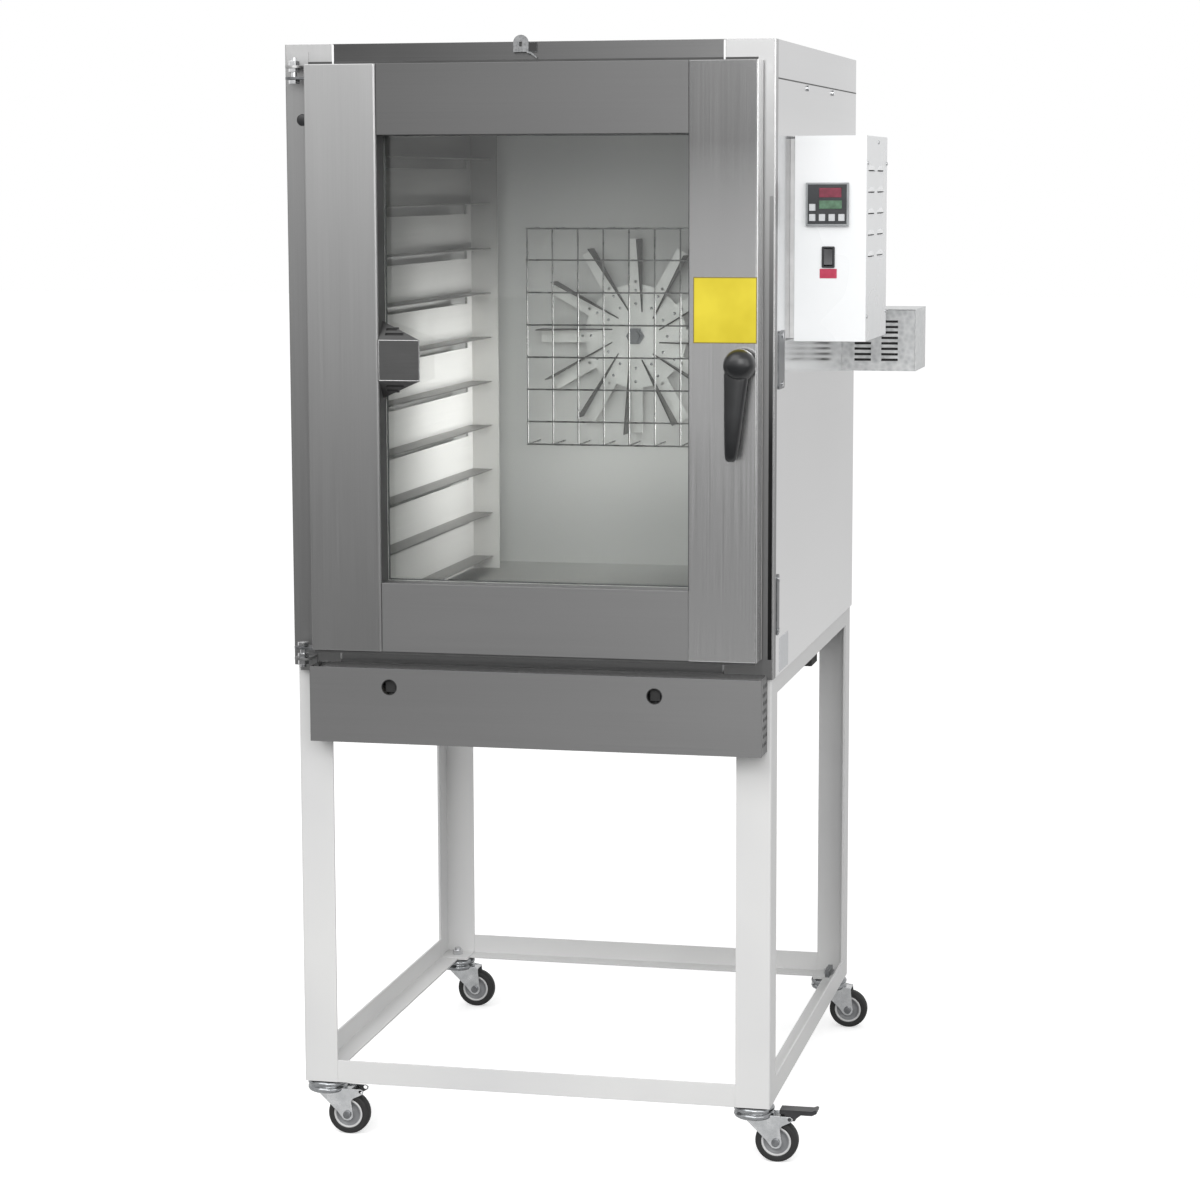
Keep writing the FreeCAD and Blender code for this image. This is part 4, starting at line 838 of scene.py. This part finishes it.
# a pale strip between box and cabinet, a spacer whose pale tone is painted light in the gap; painted shade
# behind the vent's slots; painted shadow on the foot of the top bracket
blockSet("cabinet", {
    "box_spacer_light_strip": ((420.1, 151.5, 1410), (427.9, 166, 1745), 0.4, 3, "polypropylenePaleMoulded",
                       "white_paint"),
    "vent_slot_shade": ((424, 785, 1322), (557, 786, 1431), 0.2, 3, "stovePaintBlackAndShade", "zinc_sheet"),
    "bracket_foot_shadow": ((5.4, -2.4, 1888.4), (18.8, -1.8, 1903.6), 0.2, 3, "stovePaintBlackAndShade", "zinc_sheet"),
})
print("control box dressed")

# screws, rivets and plugs

screwLook = {
    "boxWall": 550, "box": ((298, 1740), (163, 1704), (407, 1704), (163, 1447), (407, 1447)), "back": 945,
    "backRows": {1890: (-380, -130, 130, 380), 1820: (-400, -200, 200, 400), 866: (-400, -200, 200, 400),
                 1600: (-400, 400), 1345: (-400, 400), 1100: (-400, 400)},  # places across at each level
    "lamp": ((-243.8, -43, 1349), (-243.8, -43, 1406)),
}
screws = [(spot(screwLook["boxWall"], y, z), xWay) for y, z in screwLook["box"]]
screws += [(spot(x, screwLook["back"], z), yWay) for z, row in screwLook["backRows"].items() for x in row]
headsPiece("skin_screws", screws, "cabinet")
headsPiece("lamp_screws", [(spot(*place), xWay) for place in screwLook["lamp"]], "door")

bladeLook = {"count": 12, "edge": 13.5, "skin": 0.15, "sheet": 2, "root": 46, "tip": 187, "high": 50,
             "rivets": (62, 88)}
edge, skin, sheet, tip = (bladeLook[name] for name in ("edge", "skin", "sheet", "tip"))
fanLow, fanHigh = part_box("fan_wheel")
fanCentre = Vector(((fanLow.x + fanHigh.x) / 2, fanHigh.y - sheet / 1000, (fanLow.z + fanHigh.z) / 2))
rivets = []
shape = bmesh.new()
for step in range(bladeLook["count"]):
    turn = Matrix.Rotation(2 * math.pi * step / bladeLook["count"], 3, "Y")
    rivets += [(fanCentre + turn @ Vector((0, 0, radius)) / 1000, -yWay) for radius in bladeLook["rivets"]]
    sections = []
    for x in (edge + skin, edge - sheet - skin):
        corners = ((x, 0, bladeLook["root"]), (x, -bladeLook["high"] - sheet, tip), (x, 0, tip + skin))
        sections.append([fanCentre + turn @ Vector(corner) / 1000 for corner in corners])
    addLoft(shape, sections)
headsPiece("fan_rivets", rivets, "fan", domeRivet)
bmesh.ops.recalc_face_normals(shape, faces=shape.faces)
addPiece("fan_blades", shape, "fan", "stainlessFanBladeShade")

plugLook = {"place": (-390.5, 0, 1779), "profile": [(0, 2.6), (6, 2.4), (9, 1.6), (10, 0.4), (10, 0)]}
turnedPiece("stile_plug", [(plugLook["profile"], spot(*plugLook["place"]), -yWay)], "cabinet",
            "nylonBlackMoulded", (), steps=28)
blockSet("cabinet", {
    "maker_plate_blank": ((420, 62, 850), (420.6, 155, 908), 0.25, 3, "absPaleMoulded", "zinc_sheet"),
    # painted shadow: a dark strip under the skirt's lower edge
    "skirt_seam_shadow": ((419.5, 25.5, 1840.7), (420.25, 944.5, 1843.1), 0.2, 3, "siliconeGreyAndShadow",
                   slotOf["top_cover"]),
    "rail_clip": ((393, 800, 128), (402, 846, 143), 1.2, 3, "zincDarkPassivated", "zinc_plate"),
})
print("small hardware placed")

# stage, light and camera

stageLook = {"size": 80, "paper": "#f4f4f4", "glow": 0.45, "bounce": "#9c9c9c", "room": "#7c7c7c",
             "roomStart": -2.0, "roomEnd": -0.8, "matt": 0.95, "ambient": 0.66, "mirrored": 0.95}


def eitherRay(tree, *names):
    ray = addNode(tree, "ShaderNodeLightPath")
    share = ray.outputs[names[0]]
    for name in names[1:]:
        share = addNode(tree, "ShaderNodeMath", {0: share, 1: ray.outputs[name]},
                        operation="MAXIMUM").outputs[0]
    return share


bpy.ops.mesh.primitive_plane_add(size=stageLook["size"], location=(0, 0, 0))
floor = bpy.context.object
floor.name = "studio_floor"
floorMaterial, tree, place = startMaterial("paperSweepWhite")  # seamless paper: matt, takes a soft shadow
paper = addNode(tree, "ShaderNodeBsdfPrincipled",
                {"Base Color": hexColour(stageLook["paper"]), "Roughness": stageLook["matt"],
                 "Emission Color": (1, 1, 1, 1), "Emission Strength": stageLook["glow"],
                 "Specular IOR Level": 0.0})
depth = addNode(tree, "ShaderNodeSeparateXYZ", {"Vector": place})
fade = addNode(tree, "ShaderNodeMapRange", {"Value": depth.outputs["Y"], "From Min": stageLook["roomStart"],
                                            "From Max": stageLook["roomEnd"]})
mirror = addNode(tree, "ShaderNodeMix", {0: fade.outputs[0], 6: hexColour(stageLook["room"]),
                                         7: hexColour(stageLook["paper"])}, data_type="RGBA")
unlike = addNode(tree, "ShaderNodeMix",
                 {0: eitherRay(tree, "Is Glossy Ray"), 6: hexColour(stageLook["bounce"]),
                  7: mirror.outputs[2]}, data_type="RGBA")
room = addNode(tree, "ShaderNodeBsdfPrincipled",  # the steel mirrors a darker floor before the oven
               {"Base Color": unlike.outputs[2], "Roughness": stageLook["matt"], "Specular IOR Level": 0.0})
seen = addNode(tree, "ShaderNodeMixShader", {0: eitherRay(tree, "Is Camera Ray", "Is Transmission Ray"),
                                             1: room.outputs[0], 2: paper.outputs[0]})
addNode(tree, "ShaderNodeOutputMaterial", {"Surface": seen.outputs[0]})
floor.data.materials.append(floorMaterial)

world = bpy.data.worlds.new("studio")
bpy.context.scene.world = world
world.use_nodes = True
tree = world.node_tree
tree.nodes.clear()
level = addNode(tree, "ShaderNodeMapRange",
                {"Value": eitherRay(tree, "Is Camera Ray", "Is Transmission Ray"),
                 "To Min": stageLook["ambient"], "To Max": 1.0})
mirrored = addNode(tree, "ShaderNodeMix", {0: eitherRay(tree, "Is Glossy Ray"), 2: level.outputs[0],
                                           3: stageLook["mirrored"]}, data_type="FLOAT")
sky = addNode(tree, "ShaderNodeBackground", {"Color": (1, 1, 1, 1), "Strength": mirrored.outputs[0]})
addNode(tree, "ShaderNodeOutputWorld", {"Surface": sky.outputs[0]})

lamps = {  # place, target, size, power, spread in degrees
    "key": ((-2200, -4600, 5600), (0, 300, 1300), 5.0, 190, 180),
    "fill": ((4200, -3800, 2900), (-200, 400, 1200), 4.0, 86, 180),
    "front": ((1100, -5400, 3200), (0, 400, 1300), 2.5, 100, 180),
    "chamber": ((255, 620, 1270), (-309, 620, 1270), 0.38, 1.45, 76),  # the door's right stile hides it
}
for name, (start, target, size, power, spread) in lamps.items():
    light = bpy.data.lights.new(name, "AREA")
    light.size = size
    light.energy = power
    light.spread = math.radians(spread)
    lamp = bpy.data.objects.new(name, light)
    bpy.context.scene.collection.objects.link(lamp)
    lamp.location = spot(*start)
    lamp.rotation_euler = (spot(*target) - spot(*start)).to_track_quat("-Z", "Y").to_euler()
    lamp.visible_camera = lamp.visible_transmission = False

cameraLook = {"place": (1253.4, -5036.1, 1671.4), "yaw": 12.649, "pitch": 7.702, "roll": -0.16,
              "focal": 3080.44, "imageWidth": 1200, "sensor": 36, "farthest": 200}  # first two in pixels
camera = bpy.data.cameras.new("photo_camera")
camera.sensor_width = cameraLook["sensor"]
camera.lens = cameraLook["focal"] / cameraLook["imageWidth"] * cameraLook["sensor"]
camera.clip_end = cameraLook["farthest"]
viewer = bpy.data.objects.new("photo_camera", camera)
bpy.context.scene.collection.objects.link(viewer)
turn = (Matrix.Rotation(math.radians(cameraLook["yaw"]), 4, "Z")
        @ Matrix.Rotation(math.radians(90 - cameraLook["pitch"]), 4, "X")
        @ Matrix.Rotation(math.radians(cameraLook["roll"]), 4, "Z"))
viewer.matrix_world = Matrix.Translation(spot(*cameraLook["place"])) @ turn
bpy.context.scene.camera = viewer
bpy.context.scene.view_settings.view_transform = "Standard"

print("scene ready")
